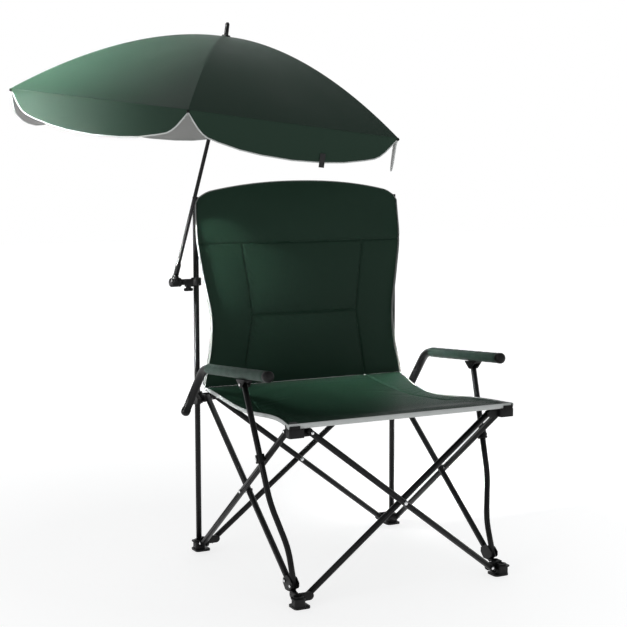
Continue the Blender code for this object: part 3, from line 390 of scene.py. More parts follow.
clothLooks = {
    "slungCloth": {
        "name": "slungCloth", "colour": (0.0140, 0.0375, 0.0235), "dark": (0.0100, 0.0275, 0.0172),
        "roughness": (0.38, 0.46), "specular": 0.10,
        "threads": 1100.0, "fuzz": 700.0, "fuzzShare": 0.5, "drift": 7.0, "depth": 0.00012,
    },
    "canopyCloth": {
        "name": "canopyCloth", "colour": (0.0140, 0.0370, 0.0230), "dark": (0.0108, 0.0288, 0.0178),
        "roughness": (0.44, 0.52), "specular": 0.14,
        "threads": 1500.0, "fuzz": 900.0, "fuzzShare": 0.4, "drift": 5.0, "depth": 0.00006,
    },
    "paleLining": {
        "name": "paleLining", "colour": (0.46, 0.46, 0.45), "dark": (0.38, 0.38, 0.375),
        "roughness": (0.48, 0.58), "specular": 0.5,
        "threads": 1500.0, "fuzz": 900.0, "fuzzShare": 0.3, "drift": 6.0, "depth": 0.00005,
    },
    "paleTape": {
        "name": "paleTape", "colour": (0.56, 0.58, 0.57), "dark": (0.47, 0.49, 0.48),
        "roughness": (0.62, 0.74), "sheen": 0.1, "specular": 0.4,
        "threads": 800.0, "fuzz": 1500.0, "fuzzShare": 0.5, "drift": 30.0, "depth": 0.00016,
    },
    # The pale tape again with painted shade in its colour, for the back's band, which lies in shade.
    "greyTape": {
        "name": "greyTape", "colour": (0.26, 0.275, 0.265), "dark": (0.21, 0.222, 0.214),
        "roughness": (0.62, 0.74), "specular": 0.3,
        "threads": 800.0, "fuzz": 1500.0, "fuzzShare": 0.5, "drift": 30.0, "depth": 0.00016,
    },
    "blackWeb": {
        "name": "blackWeb", "colour": (0.012, 0.012, 0.013), "dark": (0.006, 0.006, 0.007),
        "roughness": (0.60, 0.72), "sheen": 0.2, "sheenTint": (0.8, 0.8, 0.8), "specular": 0.4,
        "threads": 650.0, "fuzz": 1200.0, "fuzzShare": 0.4, "drift": 20.0, "depth": 0.00020,
    },
    "greenThread": {
        "name": "greenThread", "colour": (0.009, 0.024, 0.015), "dark": (0.006, 0.016, 0.010),
        "roughness": (0.50, 0.60), "specular": 0.15,
        "threads": 2400.0, "fuzz": 2000.0, "fuzzShare": 0.5, "drift": 20.0, "depth": 0.00005,
    },
}
foamLook = {
    "name": "gripFoam", "colour": (0.0165, 0.0450, 0.0315), "dark": (0.0115, 0.0320, 0.0225),
    "roughness": (0.62, 0.78), "sheen": 0.06, "cells": 900.0, "drift": 40.0, "depth": 0.00022,
}

hardMaterials = {slotName: makeHardMaterial(values) for slotName, values in hardLooks.items()}
clothMaterials = {label: makeClothMaterial(values) for label, values in clothLooks.items()}
foamMaterial = makeFoamMaterial(foamLook)
print("materials made")


# Shared mesh work

# Quads of a grid: each joins a vertex to the next along its row and the same two of the next row.
def gridFaces(rows, columns, closedColumns=False, flip=False):
    across = columns if closedColumns else columns - 1
    r, c = np.meshgrid(np.arange(rows - 1), np.arange(across), indexing="ij")
    d = (c + 1) % columns
    quads = np.stack([r * columns + c, (r + 1) * columns + c, (r + 1) * columns + d, r * columns + d], -1)
    quads = quads.reshape(-1, 4)
    return quads[:, ::-1] if flip else quads


def newPiece(name, points, faces, materials, body, sharp, uv=None, materialIndex=None):
    mesh = bpy.data.meshes.new(name)
    mesh.from_pydata(np.asarray(points, float).tolist(), [], [list(map(int, f)) for f in faces])
    for material in materials:
        mesh.materials.append(material)
    if materialIndex is not None:
        mesh.polygons.foreach_set("material_index", np.asarray(materialIndex, np.int32))
    mesh.polygons.foreach_set("use_smooth", np.ones(len(mesh.polygons), bool))
    if uv is not None:
        layer = mesh.uv_layers.new(name="cloth")
        loopVertex = np.zeros(len(mesh.loops), np.int32)
        mesh.loops.foreach_get("vertex_index", loopVertex)
        layer.data.foreach_set("uv", np.asarray(uv, np.float32)[loopVertex].ravel())
    mesh.set_sharp_from_angle(angle=math.radians(sharp))
    mesh.validate()
    mesh.update()
    made = bpy.data.objects.new(name, mesh)
    bpy.context.scene.collection.objects.link(made)
    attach(made, body)
    return made


# Lengths along each grid line, in metres, so that a weave keeps its scale on a curved cloth.
def gridUv(points):
    alongRows = np.linalg.norm(np.diff(points, axis=0), axis=2)
    alongColumns = np.linalg.norm(np.diff(points, axis=1), axis=2)
    v = np.vstack([np.zeros((1, points.shape[1])), np.cumsum(alongRows, axis=0)])
    u = np.hstack([np.zeros((points.shape[0], 1)), np.cumsum(alongColumns, axis=1)])
    u -= u[:, points.shape[1] // 2][:, None]
    return np.stack([u, v], -1)


# Normal of a grid: the cross product of its steps down the rows and across the columns.
def gridNormals(points):
    normal = np.cross(np.gradient(points, axis=0), np.gradient(points, axis=1))
    return normal / np.maximum(np.linalg.norm(normal, axis=2, keepdims=True), 1e-12)


# A closed sheet: the front grid, the back grid turned over, and a rim that joins their borders.
def shellParts(front, back):
    rows, columns = front.shape[:2]
    count = rows * columns
    frontFaces = gridFaces(rows, columns)
    backFaces = gridFaces(rows, columns, flip=True) + count
    index = np.arange(count).reshape(rows, columns)
    border = np.concatenate([index[0, :-1], index[:-1, -1], index[-1, :0:-1], index[:0:-1, 0]])
    following = np.roll(border, -1)
    rim = np.stack([border, following, following + count, border + count], -1)
    faces = np.vstack([frontFaces, backFaces, rim])
    looks = np.repeat([0, 1, 0], [len(frontFaces), len(backFaces), len(rim)])  # the rim looks like the front
    points = np.vstack([front.reshape(-1, 3), back.reshape(-1, 3)])
    uv = np.vstack([gridUv(front).reshape(-1, 2)] * 2)
    return points, faces, looks, uv


# Rings carried along a path. Each is an ellipse square to the path, its first axis kept near the reference.
def tubeParts(path, width, height, reference, sides):
    path = np.asarray(path, float)
    tangent = np.gradient(path, axis=0)
    tangent /= np.linalg.norm(tangent, axis=1, keepdims=True)
    reference = np.broadcast_to(np.asarray(reference, float), path.shape)
    first = reference - tangent * (reference * tangent).sum(1, keepdims=True)
    first /= np.linalg.norm(first, axis=1, keepdims=True)
    second = np.cross(tangent, first)
    angle = np.arange(sides) / sides * 2 * np.pi
    width = np.broadcast_to(np.asarray(width, float), len(path))[:, None, None]
    height = np.broadcast_to(np.asarray(height, float), len(path))[:, None, None]
    ring = (first[:, None] * np.cos(angle)[None, :, None] * width
            + second[:, None] * np.sin(angle)[None, :, None] * height)
    points = (path[:, None] + ring).reshape(-1, 3)
    count = len(path)
    faces = gridFaces(count, sides, closedColumns=True, flip=True).tolist()
    faces += [list(range(sides))[::-1], [(count - 1) * sides + s for s in range(sides)]]
    length = np.concatenate([[0.0], np.cumsum(np.linalg.norm(np.diff(path, axis=0), axis=1))])
    around = np.arange(sides) / sides * float(width.max() + height.max()) * np.pi
    uv = np.stack(np.meshgrid(around, length), -1).reshape(-1, 2)
    return points, faces, uv


def tubePiece(name, path, width, height, reference, material, body, sides):
    points, faces, uv = tubeParts(path, width, height, reference, sides)
    return newPiece(name, points, faces, [material], body, sharp=60, uv=uv)


# Two axes square to each given direction.
def crossAxes(directions):
    directions = directions / np.linalg.norm(directions, axis=1, keepdims=True)
    upright = np.abs(directions[:, 2:3]) >= 0.9
    helper = np.where(upright, np.array([[1.0, 0.0, 0.0]]), np.array([[0.0, 0.0, 1.0]]))
    first = np.cross(helper, directions)
    first /= np.linalg.norm(first, axis=1, keepdims=True)
    return directions, first, np.cross(directions, first)


# One small turned shape repeated: ring k has radius r[k] at height h[k] along each place's own direction.
def turnedCopies(name, places, directions, radii, heights, material, body, sides=14):
    places = np.atleast_2d(np.asarray(places, float))
    axis, first, second = crossAxes(np.atleast_2d(np.asarray(directions, float)))
    angle = np.arange(sides) / sides * 2 * np.pi
    circle = (first[:, None] * np.cos(angle)[None, :, None] + second[:, None] * np.sin(angle)[None, :, None])
    radii, heights = np.asarray(radii, float), np.asarray(heights, float)
    rings = (places[:, None, None] + circle[:, None] * radii[None, :, None, None]
             + axis[:, None, None] * heights[None, :, None, None])
    count = len(radii) * sides
    one = gridFaces(len(radii), sides, closedColumns=True, flip=True)
    faces = (one[None] + (np.arange(len(places)) * count)[:, None, None]).reshape(-1, 4).tolist()
    for n in range(len(places)):
        faces.append([n * count + s for s in range(sides)][::-1])
        faces.append([(n + 1) * count - sides + s for s in range(sides)])
    return newPiece(name, rings.reshape(-1, 3), faces, [material], body, sharp=50)


# Even steps along a path, with the direction of the path at each.
def evenSteps(path, step):
    path = np.asarray(path, float)
    length = np.concatenate([[0.0], np.cumsum(np.linalg.norm(np.diff(path, axis=0), axis=1))])
    marks = np.arange(step / 2, length[-1] - step / 4, step)
    places = np.stack([np.interp(marks, length, path[:, k]) for k in range(3)], -1)
    ahead = np.stack([np.interp(marks + step * 0.2, length, path[:, k]) for k in range(3)], -1)
    behind = np.stack([np.interp(marks - step * 0.2, length, path[:, k]) for k in range(3)], -1)
    return places, ahead - behind


stitch = {"step": 0.0042, "share": 0.62, "radius": 0.00032, "radiusShares": (0.35, 1.0, 1.0, 0.35),
          "lengthShares": (-1.0, -0.7, 0.7, 1.0), "beside": 0.0042, "lift": 0.0002, "spacing": 0.004}


# Stitches: short capsules laid end to end along a path.
def stitchLine(name, paths, material, body):
    places, directions = zip(*(evenSteps(path, stitch["step"]) for path in paths))
    half = stitch["step"] * stitch["share"] / 2
    radii = np.array(stitch["radiusShares"]) * stitch["radius"]
    heights = np.array(stitch["lengthShares"]) * half
    return turnedCopies(name, np.vstack(places), np.vstack(directions), radii, heights,
                        material, body, sides=6)


# CAD pieces whose shape stays: joined copies, with soft edges on the moulded ones that catch the light.
finish = {
    "weld": 0.00002,
    "sliver": 1e-6,
    "smooth": 34.0,
    "bevel": {"steel_black": 0.0, "plastic_black": 0.00045, "rivet_steel": 0.0},
    "bevelAngle": 40.0,
    "bevelSegments": 2,
}
bodyOf = {node: body for body, members in frame["record"]["behaviour"]["bodies"].items() for node in members}
slotOf = {row["node"]: row["material_slot"] for row in frame["record"]["subparts"]}


def finishNode(node):
    slotName = slotOf[node]
    mesh = nodes[node].data.copy()
    mesh.name = node + "_finish"
    work = bmesh.new()
    work.from_mesh(mesh)
    bmesh.ops.remove_doubles(work, verts=work.verts, dist=finish["weld"])
    bmesh.ops.dissolve_degenerate(work, edges=work.edges, dist=finish["sliver"])
    work.to_mesh(mesh)
    work.free()
    mesh.materials.clear()
    mesh.materials.append(hardMaterials[slotName])
    mesh.polygons.foreach_set("use_smooth", np.ones(len(mesh.polygons), bool))
    mesh.polygons.foreach_set("material_index", np.zeros(len(mesh.polygons), np.int32))
    mesh.set_sharp_from_angle(angle=math.radians(finish["smooth"]))
    made = bpy.data.objects.new(node + "_finish", mesh)
    bpy.context.scene.collection.objects.link(made)
    width = finish["bevel"][slotName]
    if width:
        bevel = made.modifiers.new("softEdges", "BEVEL")
        bevel.width, bevel.segments = width, finish["bevelSegments"]
        bevel.limit_method, bevel.angle_limit = "ANGLE", math.radians(finish["bevelAngle"])
        bevel.harden_normals = True
    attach(made, bodyOf[node])
    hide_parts(node)


for nodeName in sorted(nodes):
    if slotOf[nodeName] in hardMaterials:
        finishNode(nodeName)
print("frame pieces finished")


def inRow(points):
    return np.asarray(points, float) + chairShift


# Padded cloth blown up from inside: seams and edges are held, the pressure swells what lies between them,
# and no point moves further than the cap.

puff = {"pressure": 4.0, "frames": 20, "tension": 12.0, "bending": 0.4, "mass": 0.3, "quality": 5,
        "quickShare": 0.7, "quickReach": 0.03}


def swell(front, rear, held, cap):
    rows, columns = front.shape[:2]
    points, faces, _, _ = shellParts(front, rear)
    mesh = bpy.data.meshes.new("swell")
    mesh.from_pydata(points.tolist(), [], faces.tolist())
    made = bpy.data.objects.new("swell", mesh)
    bpy.context.scene.collection.objects.link(made)
    group = made.vertex_groups.new(name="held")
    group.add([int(i) for i in np.flatnonzero(np.concatenate([held.ravel(), held.ravel()]))], 1.0, "REPLACE")
    cloth = made.modifiers.new("cloth", "CLOTH")
    cloth.settings.quality = puff["quality"]
    cloth.settings.mass = puff["mass"]
    cloth.settings.tension_stiffness = cloth.settings.compression_stiffness = puff["tension"]
    cloth.settings.bending_stiffness = puff["bending"]
    cloth.settings.vertex_group_mass = "held"
    cloth.settings.use_pressure = True
    cloth.settings.uniform_pressure_force = puff["pressure"]
    cloth.settings.effector_weights.gravity = 0.0
    cloth.collision_settings.use_collision = False
    cloth.point_cache.frame_start, cloth.point_cache.frame_end = 1, puff["frames"]
    scene = bpy.context.scene
    for step in range(1, puff["frames"] + 1):
        scene.frame_set(step)
    graph = bpy.context.evaluated_depsgraph_get()
    result = made.evaluated_get(graph).to_mesh()
    moved = np.zeros(len(result.vertices) * 3)
    result.vertices.foreach_get("co", moved)
    scene.frame_set(1)
    bpy.data.objects.remove(made, do_unlink=True)
    shift = moved.reshape(-1, 3) - points
    length = np.linalg.norm(shift, axis=1, keepdims=True)
    shift *= np.minimum(1.0, cap / np.maximum(length, 1e-9))
    shift = shift.reshape(2, rows, columns, 3)
    return front + shift[0], rear + shift[1]


# Values of a coarse grid read at a finer one. Between neighbours the share is the mean of a straight step t
# and a smooth step t^2 (3 - 2 t), in both directions.
def refine(grid, rows, columns):
    u = np.linspace(0, grid.shape[0] - 1, rows)
    v = np.linspace(0, grid.shape[1] - 1, columns)
    r, c = np.minimum(u.astype(int), grid.shape[0] - 2), np.minimum(v.astype(int), grid.shape[1] - 2)
    a, b = (u - r)[:, None, None], (v - c)[None, :, None]
    smoothA, smoothB = a * a * (3 - 2 * a), b * b * (3 - 2 * b)
    a, b = (a + smoothA) / 2, (b + smoothB) / 2
    return ((grid[r][:, c] * (1 - a) + grid[r + 1][:, c] * a) * (1 - b)
            + (grid[r][:, c + 1] * (1 - a) + grid[r + 1][:, c + 1] * a) * b)


# Distance from each point to a line of points, all in one plane.
def lineDistance(a, b, line):
    nearest = np.full(a.shape, np.inf)
    for (a0, b0), (a1, b1) in zip(line, line[1:]):
        length = (a1 - a0) ** 2 + (b1 - b0) ** 2
        t = np.clip(((a - a0) * (a1 - a0) + (b - b0) * (b1 - b0)) / length, 0, 1)
        nearest = np.minimum(nearest, np.hypot(a - a0 - t * (a1 - a0), b - b0 - t * (b1 - b0)))
    return nearest


# Back: a padded cloth between the poles, narrow at its waist, with sewn lines

back = {
    "heights": (0.4465, 0.5402, 0.6299, 0.7301, 0.8229, 0.9001, 0.9450, 1.0000),
    "halfWidths": (0.2979, 0.2754, 0.2700, 0.2880, 0.3030, 0.3021, 0.3000, 0.2985),
    "depths": (0.2463, 0.2466, 0.2470, 0.2528, 0.2590, 0.2700, 0.2739, 0.2739),
    "edgeTop": 0.9513,
    "crownTop": 0.9850,
    "bottom": 0.4468,
    "hollow": 0.014,  # how far the sides lie behind the middle
    "thickness": 0.0040,
    "cap": 0.0105,
    "held": 0.0075,
    "seamWidth": 0.0021,
    "seamDepth": 0.0030,
    "coarse": (92, 92),
    "fine": (276, 276),
    "waistZ": 0.6310,
    "waistX": 0.1565,
    "yokeZ": 0.8218,
    "yokeX": 0.1825,
    "yokeReach": 0.32,
    "yokeStitched": 0.294,
    "footX": 0.1860,
    "crownPower": 2.2,
    "shoulderDrop": 0.016,
    "shoulderStart": 0.86,
    "shoulderPower": 2.4,
    "evening": (-0.03, -0.015, 0.0, 0.015, 0.03),
    "hollowRise": 1.6,
    "frontLift": 0.0006,
    "sideHeldShare": 0.015,
    "topHeldShare": 0.015,
    "bottomHeldShare": 0.005,
    "width": 0.58,
    "height": 0.50,
    "rearShare": 0.6,
}


# A table of the back read at heights z, evened out over a few centimetres.
def evenedTable(z, label):
    values = [np.interp(z + shift, back["heights"], back[label]) for shift in back["evening"]]
    return sum(values) / len(values)


# The plain back: half width and depth read from the tables by height, sides set back by the square of their
# share from the middle, and a top whose arch falls by a power of that share.
def backPlain(u, v):
    across = 1 - 2 * v
    arch = (back["crownTop"] - back["edgeTop"]) * (1 - np.abs(across) ** back["crownPower"])
    shoulder = np.clip((np.abs(across) - back["shoulderStart"]) / (1 - back["shoulderStart"]), 0, 1)
    top = back["edgeTop"] + arch - back["shoulderDrop"] * shoulder ** back["shoulderPower"]
    z = back["bottom"] + (top - back["bottom"]) * u
    hollow = back["hollow"] * (across ** 2 - 0.5) * np.minimum(1.0, u * back["hollowRise"])
    return np.stack([across * evenedTable(z, "halfWidths"), evenedTable(z, "depths") + hollow, z], -1)


backSeams = (
    ((-back["yokeReach"], back["yokeZ"]), (back["yokeReach"], back["yokeZ"])),
    ((-back["yokeX"], back["yokeZ"]), (-back["waistX"], back["waistZ"]), (-back["footX"], back["bottom"])),
    ((back["yokeX"], back["yokeZ"]), (back["waistX"], back["waistZ"]), (back["footX"], back["bottom"])),
    ((-back["waistX"], back["waistZ"]), (back["waistX"], back["waistZ"])),
)


def backSeamDistance(points):
    return np.minimum.reduce([lineDistance(points[..., 0], points[..., 2], line) for line in backSeams])


gathers = {"height": 0.00035, "waves": 210, "drift": 43, "driftTurn": 2, "beside": 0.009, "width": 0.007}


# A seam's groove exp(-(distance / width)^2), and small waves beside it, fullest at one distance from it.
def sewnRelief(distance, along, values):
    groove = values["seamDepth"] * np.exp(-(distance / values["seamWidth"]) ** 2)
    wave = np.sin(along * gathers["waves"] + np.sin(along * gathers["drift"]) * gathers["driftTurn"])
    fade = np.exp(-((distance - gathers["beside"]) / gathers["width"]) ** 2)
    return gathers["height"] * wave * fade - groove


def unitGrid(size):
    return np.meshgrid(np.linspace(0, 1, size[0]), np.linspace(0, 1, size[1]), indexing="ij")


def makeBackPad():
    u, v = unitGrid(back["coarse"])
    plain = backPlain(u, v)
    normal = gridNormals(plain)
    front, rear = plain + normal * back["frontLift"], plain - normal * back["thickness"]
    side = np.minimum(v, 1 - v)
    held = backSeamDistance(plain) < back["held"]
    held |= (side < back["sideHeldShare"]) | (1 - u < back["topHeldShare"]) | (u < back["bottomHeldShare"])
    front, rear = swell(front, rear, held, back["cap"])
    front, rear = (refine(layer, *back["fine"]) for layer in (front, rear))
    outward = gridNormals(front)
    distance = backSeamDistance(front)
    along = front[..., 0] + front[..., 2]
    front = front + outward * sewnRelief(distance, along, back)[..., None]
    points, faces, _, uv = shellParts(inRow(front), inRow(rear))
    made = newPiece("backPad", points, faces, [clothMaterials["slungCloth"]], "left_pole",
                    sharp=75, uv=uv)
    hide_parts("back_cloth")
    return made, front, rear


backPad, backFront, backRear = makeBackPad()
print("back made")


# Seat: sags between its corners, dips along its sides and turns up into the back at the fold

seat = {
    "frontX": 0.3134,
    "frontY": -0.2777,
    "rearX": 0.2980,
    "rearY": 0.2488,
    "edgeZ": 0.4325,
    "rearZ": 0.4440,
    "sag": 0.0420,
    "sideDip": 0.0240,
    "thickness": 0.0022,
    "cap": 0.0070,
    "held": 0.0075,
    "seamWidth": 0.0021,
    "seamDepth": 0.0026,
    "coarse": (84, 92),
    "fine": (252, 276),
    "seamLine": ((0.186, 0.250), (0.205, 0.165), (0.236, 0.040), (0.250, -0.060), (0.262, -0.150)),
    "levelShare": 0.05,
    "waistShare": 0.10,
    "waistPower": 3,
    "dipBack": 1.4,
    "dipPower": 1.5,
    "sagBack": 0.85,
    "width": 0.60,
    "depth": 0.53,
    "foldFade": 0.02,
    "edgeHeld": 0.008,
    "bottomShare": 0.5,
    "gatherStretch": 1.3,
}
fans = {"height": 0.0022, "inset": 0.005, "waves": 13.0, "phase": 0.7, "turn": 0.85, "turnWidth": 0.50,
        "start": 0.05, "reach": 0.17}
frontWaves = {"height": 0.0012, "alongX": 24, "alongY": 9, "phase": 0.6, "y": -0.19, "width": 0.07,
              "endX": 0.32}
sideWaves = {"height": 0.0012, "alongX": 6, "alongY": 42, "x": 0.255, "width": 0.035}


# The plain seat: level for a first share from its front, then a dip along each side, sin of the share to a
# power times the square of the share across, and a bowl in the middle. Its sides draw in halfway back.
def seatPlain(u, v):
    across = 2 * v - 1
    inward = np.maximum(0.0, u - seat["levelShare"]) / (1 - seat["levelShare"])
    halfWidth = seat["frontX"] + (seat["rearX"] - seat["frontX"]) * u
    waist = seat["waistShare"] * (1 - (2 * u - 1) ** 2) * np.abs(across) ** seat["waistPower"]
    x = across * halfWidth * (1 - waist)
    y = seat["frontY"] + (seat["rearY"] - seat["frontY"]) * u
    level = seat["edgeZ"] + (seat["rearZ"] - seat["edgeZ"]) * inward
    dipShape = np.maximum(np.sin(np.pi * inward ** seat["dipBack"]), 0) ** seat["dipPower"]
    sag = seat["sag"] * np.sin(np.pi * inward ** seat["sagBack"]) * (1 - across ** 2)
    return np.stack([x, y, level - seat["sideDip"] * dipShape * across ** 2 - sag], -1)


# exp(-((value - middle) / width)^2)
def bellCurve(value, middle, width):
    return np.exp(-((value - middle) / width) ** 2)


# Tension folds: sines of the angle about each front corner, which fan out and die away along their length,
# and two sets of long waves, one behind the front edge and one along the sides.
def seatFolds(x, y):
    total = np.zeros(x.shape)
    for side in (-1, 1):
        ahead = y - (seat["frontY"] + fans["inset"])
        beside = (x - side * seat["frontX"]) * -side
        turn = np.arctan2(beside, np.maximum(ahead, 1e-6))
        reach = np.hypot(ahead, beside)
        ripple = np.sin(turn * fans["waves"] + side * fans["phase"])
        ripple *= bellCurve(turn, fans["turn"], fans["turnWidth"]) * bellCurve(reach, 0.0, fans["reach"])
        total += fans["height"] * ripple * np.clip(reach / fans["start"], 0, 1)
    frontSine = np.sin(x * frontWaves["alongX"] + y * frontWaves["alongY"] + frontWaves["phase"])
    frontSine *= bellCurve(y, frontWaves["y"], frontWaves["width"]) * (1 - (x / frontWaves["endX"]) ** 2)
    sideSine = np.sin(y * sideWaves["alongY"] + x * sideWaves["alongX"])
    sideSine *= bellCurve(np.abs(x), sideWaves["x"], sideWaves["width"])
    return total + frontWaves["height"] * frontSine + sideWaves["height"] * sideSine


def seatSeamDistance(points):
    return lineDistance(np.abs(points[..., 0]), points[..., 1], seat["seamLine"])


def makeSeatPad():
    u, v = unitGrid(seat["coarse"])
    plain = seatPlain(u, v)
    upward = -gridNormals(plain)
    edge = np.minimum(np.minimum(v, 1 - v) * seat["width"], np.minimum(u, 1 - u) * seat["depth"])
    folds = (seatFolds(plain[..., 0], plain[..., 1]) * np.clip(edge / seat["foldFade"], 0, 1))[..., None]
    top = plain + upward * (seat["thickness"] + folds)
    bottom = plain + upward * folds
    held = (seatSeamDistance(plain) < seat["held"]) | (edge < seat["edgeHeld"])
    bottom, top = swell(bottom, top, held, seat["cap"])
    top, bottom = (refine(layer, *seat["fine"]) for layer in (top, bottom))
    outward = -gridNormals(top)
    along = top[..., 1] * seat["gatherStretch"]
    top = top + outward * sewnRelief(seatSeamDistance(top), along, seat)[..., None]
    points, faces, _, uv = shellParts(inRow(bottom), inRow(top))
    made = newPiece("seatPad", points, faces, [clothMaterials["slungCloth"]], bodyOf["seat_cloth"],
                    sharp=75, uv=uv)
    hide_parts("seat_cloth")
    return made, bottom, top


seatPad, seatBottom, seatTop = makeSeatPad()
print("seat made")


# Tape folded over the edges, one pale tape all round, with painted shade darkening it round the back: a flat
# band on the outer wall

tape = {
    "step": 4,  # grid points of the cloth between two rings
    "thick": 0.0013,
    "outwards": 0.0032,
    "backShares": (0.0, 0.40, 0.75, 0.95),
    "backHalf": (0.0100, 0.0085, 0.0060, 0.0045),
    "crownHalf": 0.0032,
    "crownFade": 0.012,
    "crownReach": 0.295,
    "frontHalf": 0.0062,
    "frontDrop": 0.0024,
    "sideHalf": 0.0050,
    "sideDrop": 0.0016,
}


# Band: an ellipse carried along the edge, wide along the cloth's own normal and thin outwards.
def bandPiece(name, path, half, direction, body, look="paleTape"):
    return tubePiece(name, inRow(path), half, tape["thick"], direction, clothMaterials[look], body,
                     sides=14)


# The back's band narrows with the height, from one share to the next, and gets thin over the crown.
def makeTapes():
    step = tape["step"]
    middle = (backFront + backRear) / 2
    normal = backFront - backRear
    normal /= np.linalg.norm(normal, axis=2, keepdims=True)
    path = np.vstack([middle[::step, 0], middle[-1, step::step], middle[::-step, -1][1:]])
    facing = np.vstack([normal[::step, 0], normal[-1, step::step], normal[::-step, -1][1:]])
    height = np.clip((path[:, 2] - back["bottom"]) / (back["edgeTop"] - back["bottom"]), 0, 1)
    half = np.interp(height, tape["backShares"], tape["backHalf"])
    crown = np.clip((path[:, 2] - back["edgeTop"]) / tape["crownFade"] + 1, 0, 1)
    crown *= np.abs(path[:, 0]) < tape["crownReach"]
    half = half * (1 - crown) + tape["crownHalf"] * crown
    path[:, 0] += np.sign(path[:, 0]) * tape["outwards"] * (1 - crown)
    # The back's band takes the pale tape darkened by painted shade.
    pieces = [bandPiece("backTape", path, half, facing, "left_pole", "greyTape")]
    halfway = (seatBottom + seatTop) / 2
    body = bodyOf["seat_cloth"]
    up = np.array([0.0, 0.0, 1.0])
    frontPath = halfway[0, ::step] - up * tape["frontDrop"]
    pieces.append(bandPiece("seatTapeFront", frontPath, tape["frontHalf"], up, body))
    for label, column in (("Left", 0), ("Right", -1)):
        sidePath = halfway[::step, column] - up * tape["sideDrop"]
        pieces.append(bandPiece("seatTape" + label, sidePath, tape["sideHalf"], up, body))
    return pieces


tapes = makeTapes()


# Rows of stitches on both sides of each seam, each stitch a short capsule that lies on the cloth

def onGrid(grid, rows, columns):
    return grid[np.clip(rows, 0, grid.shape[0] - 1), np.clip(columns, 0, grid.shape[1] - 1)]


# Points of a surface nearest to a line, both read in two of the three axes.
def layOn(surface, line, axes, lift):
    flat = surface[..., axes].reshape(-1, 2)
    normals = gridNormals(surface).reshape(-1, 3)
    places = surface.reshape(-1, 3)
    marks = []
    for start, end in zip(line, line[1:]):
        count = max(2, int(np.hypot(end[0] - start[0], end[1] - start[1]) / stitch["spacing"]))
        t = np.linspace(0, 1, count, endpoint=False)[:, None]
        marks.append(np.array(start) * (1 - t) + np.array(end) * t)
    marks = np.vstack(marks)
    nearest = np.array([np.argmin(((flat - mark) ** 2).sum(1)) for mark in marks])
    laid = places[nearest] + normals[nearest] * lift
    laid[:, axes] = marks
    return laid


# A line moved sideways: each point plus its tangent turned by a quarter, times the distance.
def offsetLine(line, distance):
    points = np.array(line, float)
    tangent = np.gradient(points, axis=0)
    tangent /= np.linalg.norm(tangent, axis=1, keepdims=True)
    return points + np.stack([-tangent[:, 1], tangent[:, 0]], -1) * distance


def makeSeamStitches():
    thread = clothMaterials["greenThread"]
    yoke = ((-back["yokeStitched"], back["yokeZ"]), (back["yokeStitched"], back["yokeZ"]))
    seams = [[(sign * a, b) for a, b in seat["seamLine"]] for sign in (-1, 1)]
    beside = (-stitch["beside"], stitch["beside"])
    backPaths = [inRow(layOn(backFront, offsetLine(line, distance), [0, 2], stitch["lift"]))
                 for line in (yoke, *backSeams[1:]) for distance in beside]
    seatPaths = [inRow(layOn(seatTop, offsetLine(line, distance), [0, 1], -stitch["lift"]))
                 for line in seams for distance in beside]
    stitchLine("backStitches", backPaths, thread, "left_pole")
    stitchLine("seatStitches", seatPaths, thread, bodyOf["seat_cloth"])


makeSeamStitches()
print("tapes and stitches made")


# Webbing patches sewn over the seat's front corners, and the pockets that take the poles' tops

patch = {
    "grid": (12, 14),
    "cornerRows": (0.012, 0.050),
    "cornerColumns": (("Left", (0.012, 0.045)), ("Right", (0.955, 0.988))),
    "cornerLift": 0.0003,
    "cornerThickness": 0.0009,
    "pocketRows": (0.74, 0.965),
    "pocketColumns": (("Right", (0.02, 0.085)), ("Left", (0.915, 0.98))),
    "pocketLift": 0.0004,
    "pocketThickness": 0.0012,
}


# Patch: the pad's own surface between shares of its rows and columns, moved out against its grid's normal.
def surfacePatch(name, surface, rows, columns, lift, thickness, material, body):
    r, c = np.meshgrid(np.linspace(*rows, patch["grid"][0]) * (surface.shape[0] - 1),
                       np.linspace(*columns, patch["grid"][1]) * (surface.shape[1] - 1), indexing="ij")
    r, c = r.round().astype(int), c.round().astype(int)
    base = onGrid(surface, r, c)
    facing = -onGrid(gridNormals(surface), r, c)
    upper = base + facing * (lift + thickness)
    lower = base + facing * lift
    points, faces, _, uv = shellParts(inRow(upper), inRow(lower))
    made = newPiece(name, points, faces, [material], body, sharp=50, uv=uv)


def makePatches():
    for label, columns in patch["cornerColumns"]:
        surfacePatch("cornerPatch" + label, seatTop, patch["cornerRows"], columns,
                     patch["cornerLift"], patch["cornerThickness"], clothMaterials["blackWeb"],
                     bodyOf["seat_cloth"])
    for label, columns in patch["pocketColumns"]:
        surfacePatch("polePocket" + label, backRear, patch["pocketRows"], columns,
                     patch["pocketLift"], patch["pocketThickness"], clothMaterials["slungCloth"],
                     "left_pole")


makePatches()
sewnOn = ("backStitches", "seatStitches", "cornerPatchLeft", "cornerPatchRight", "polePocketLeft",
          "polePocketRight")
# The cloths and all that is sewn to them each get a mesh of their own.
for piece in (backPad, seatPad, *tapes, *(bpy.data.objects[name] for name in sewnOn)):
    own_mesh(piece)
print("patches made")


# Umbrella cover: six parts, one round each rib, that meet halfway between the ribs

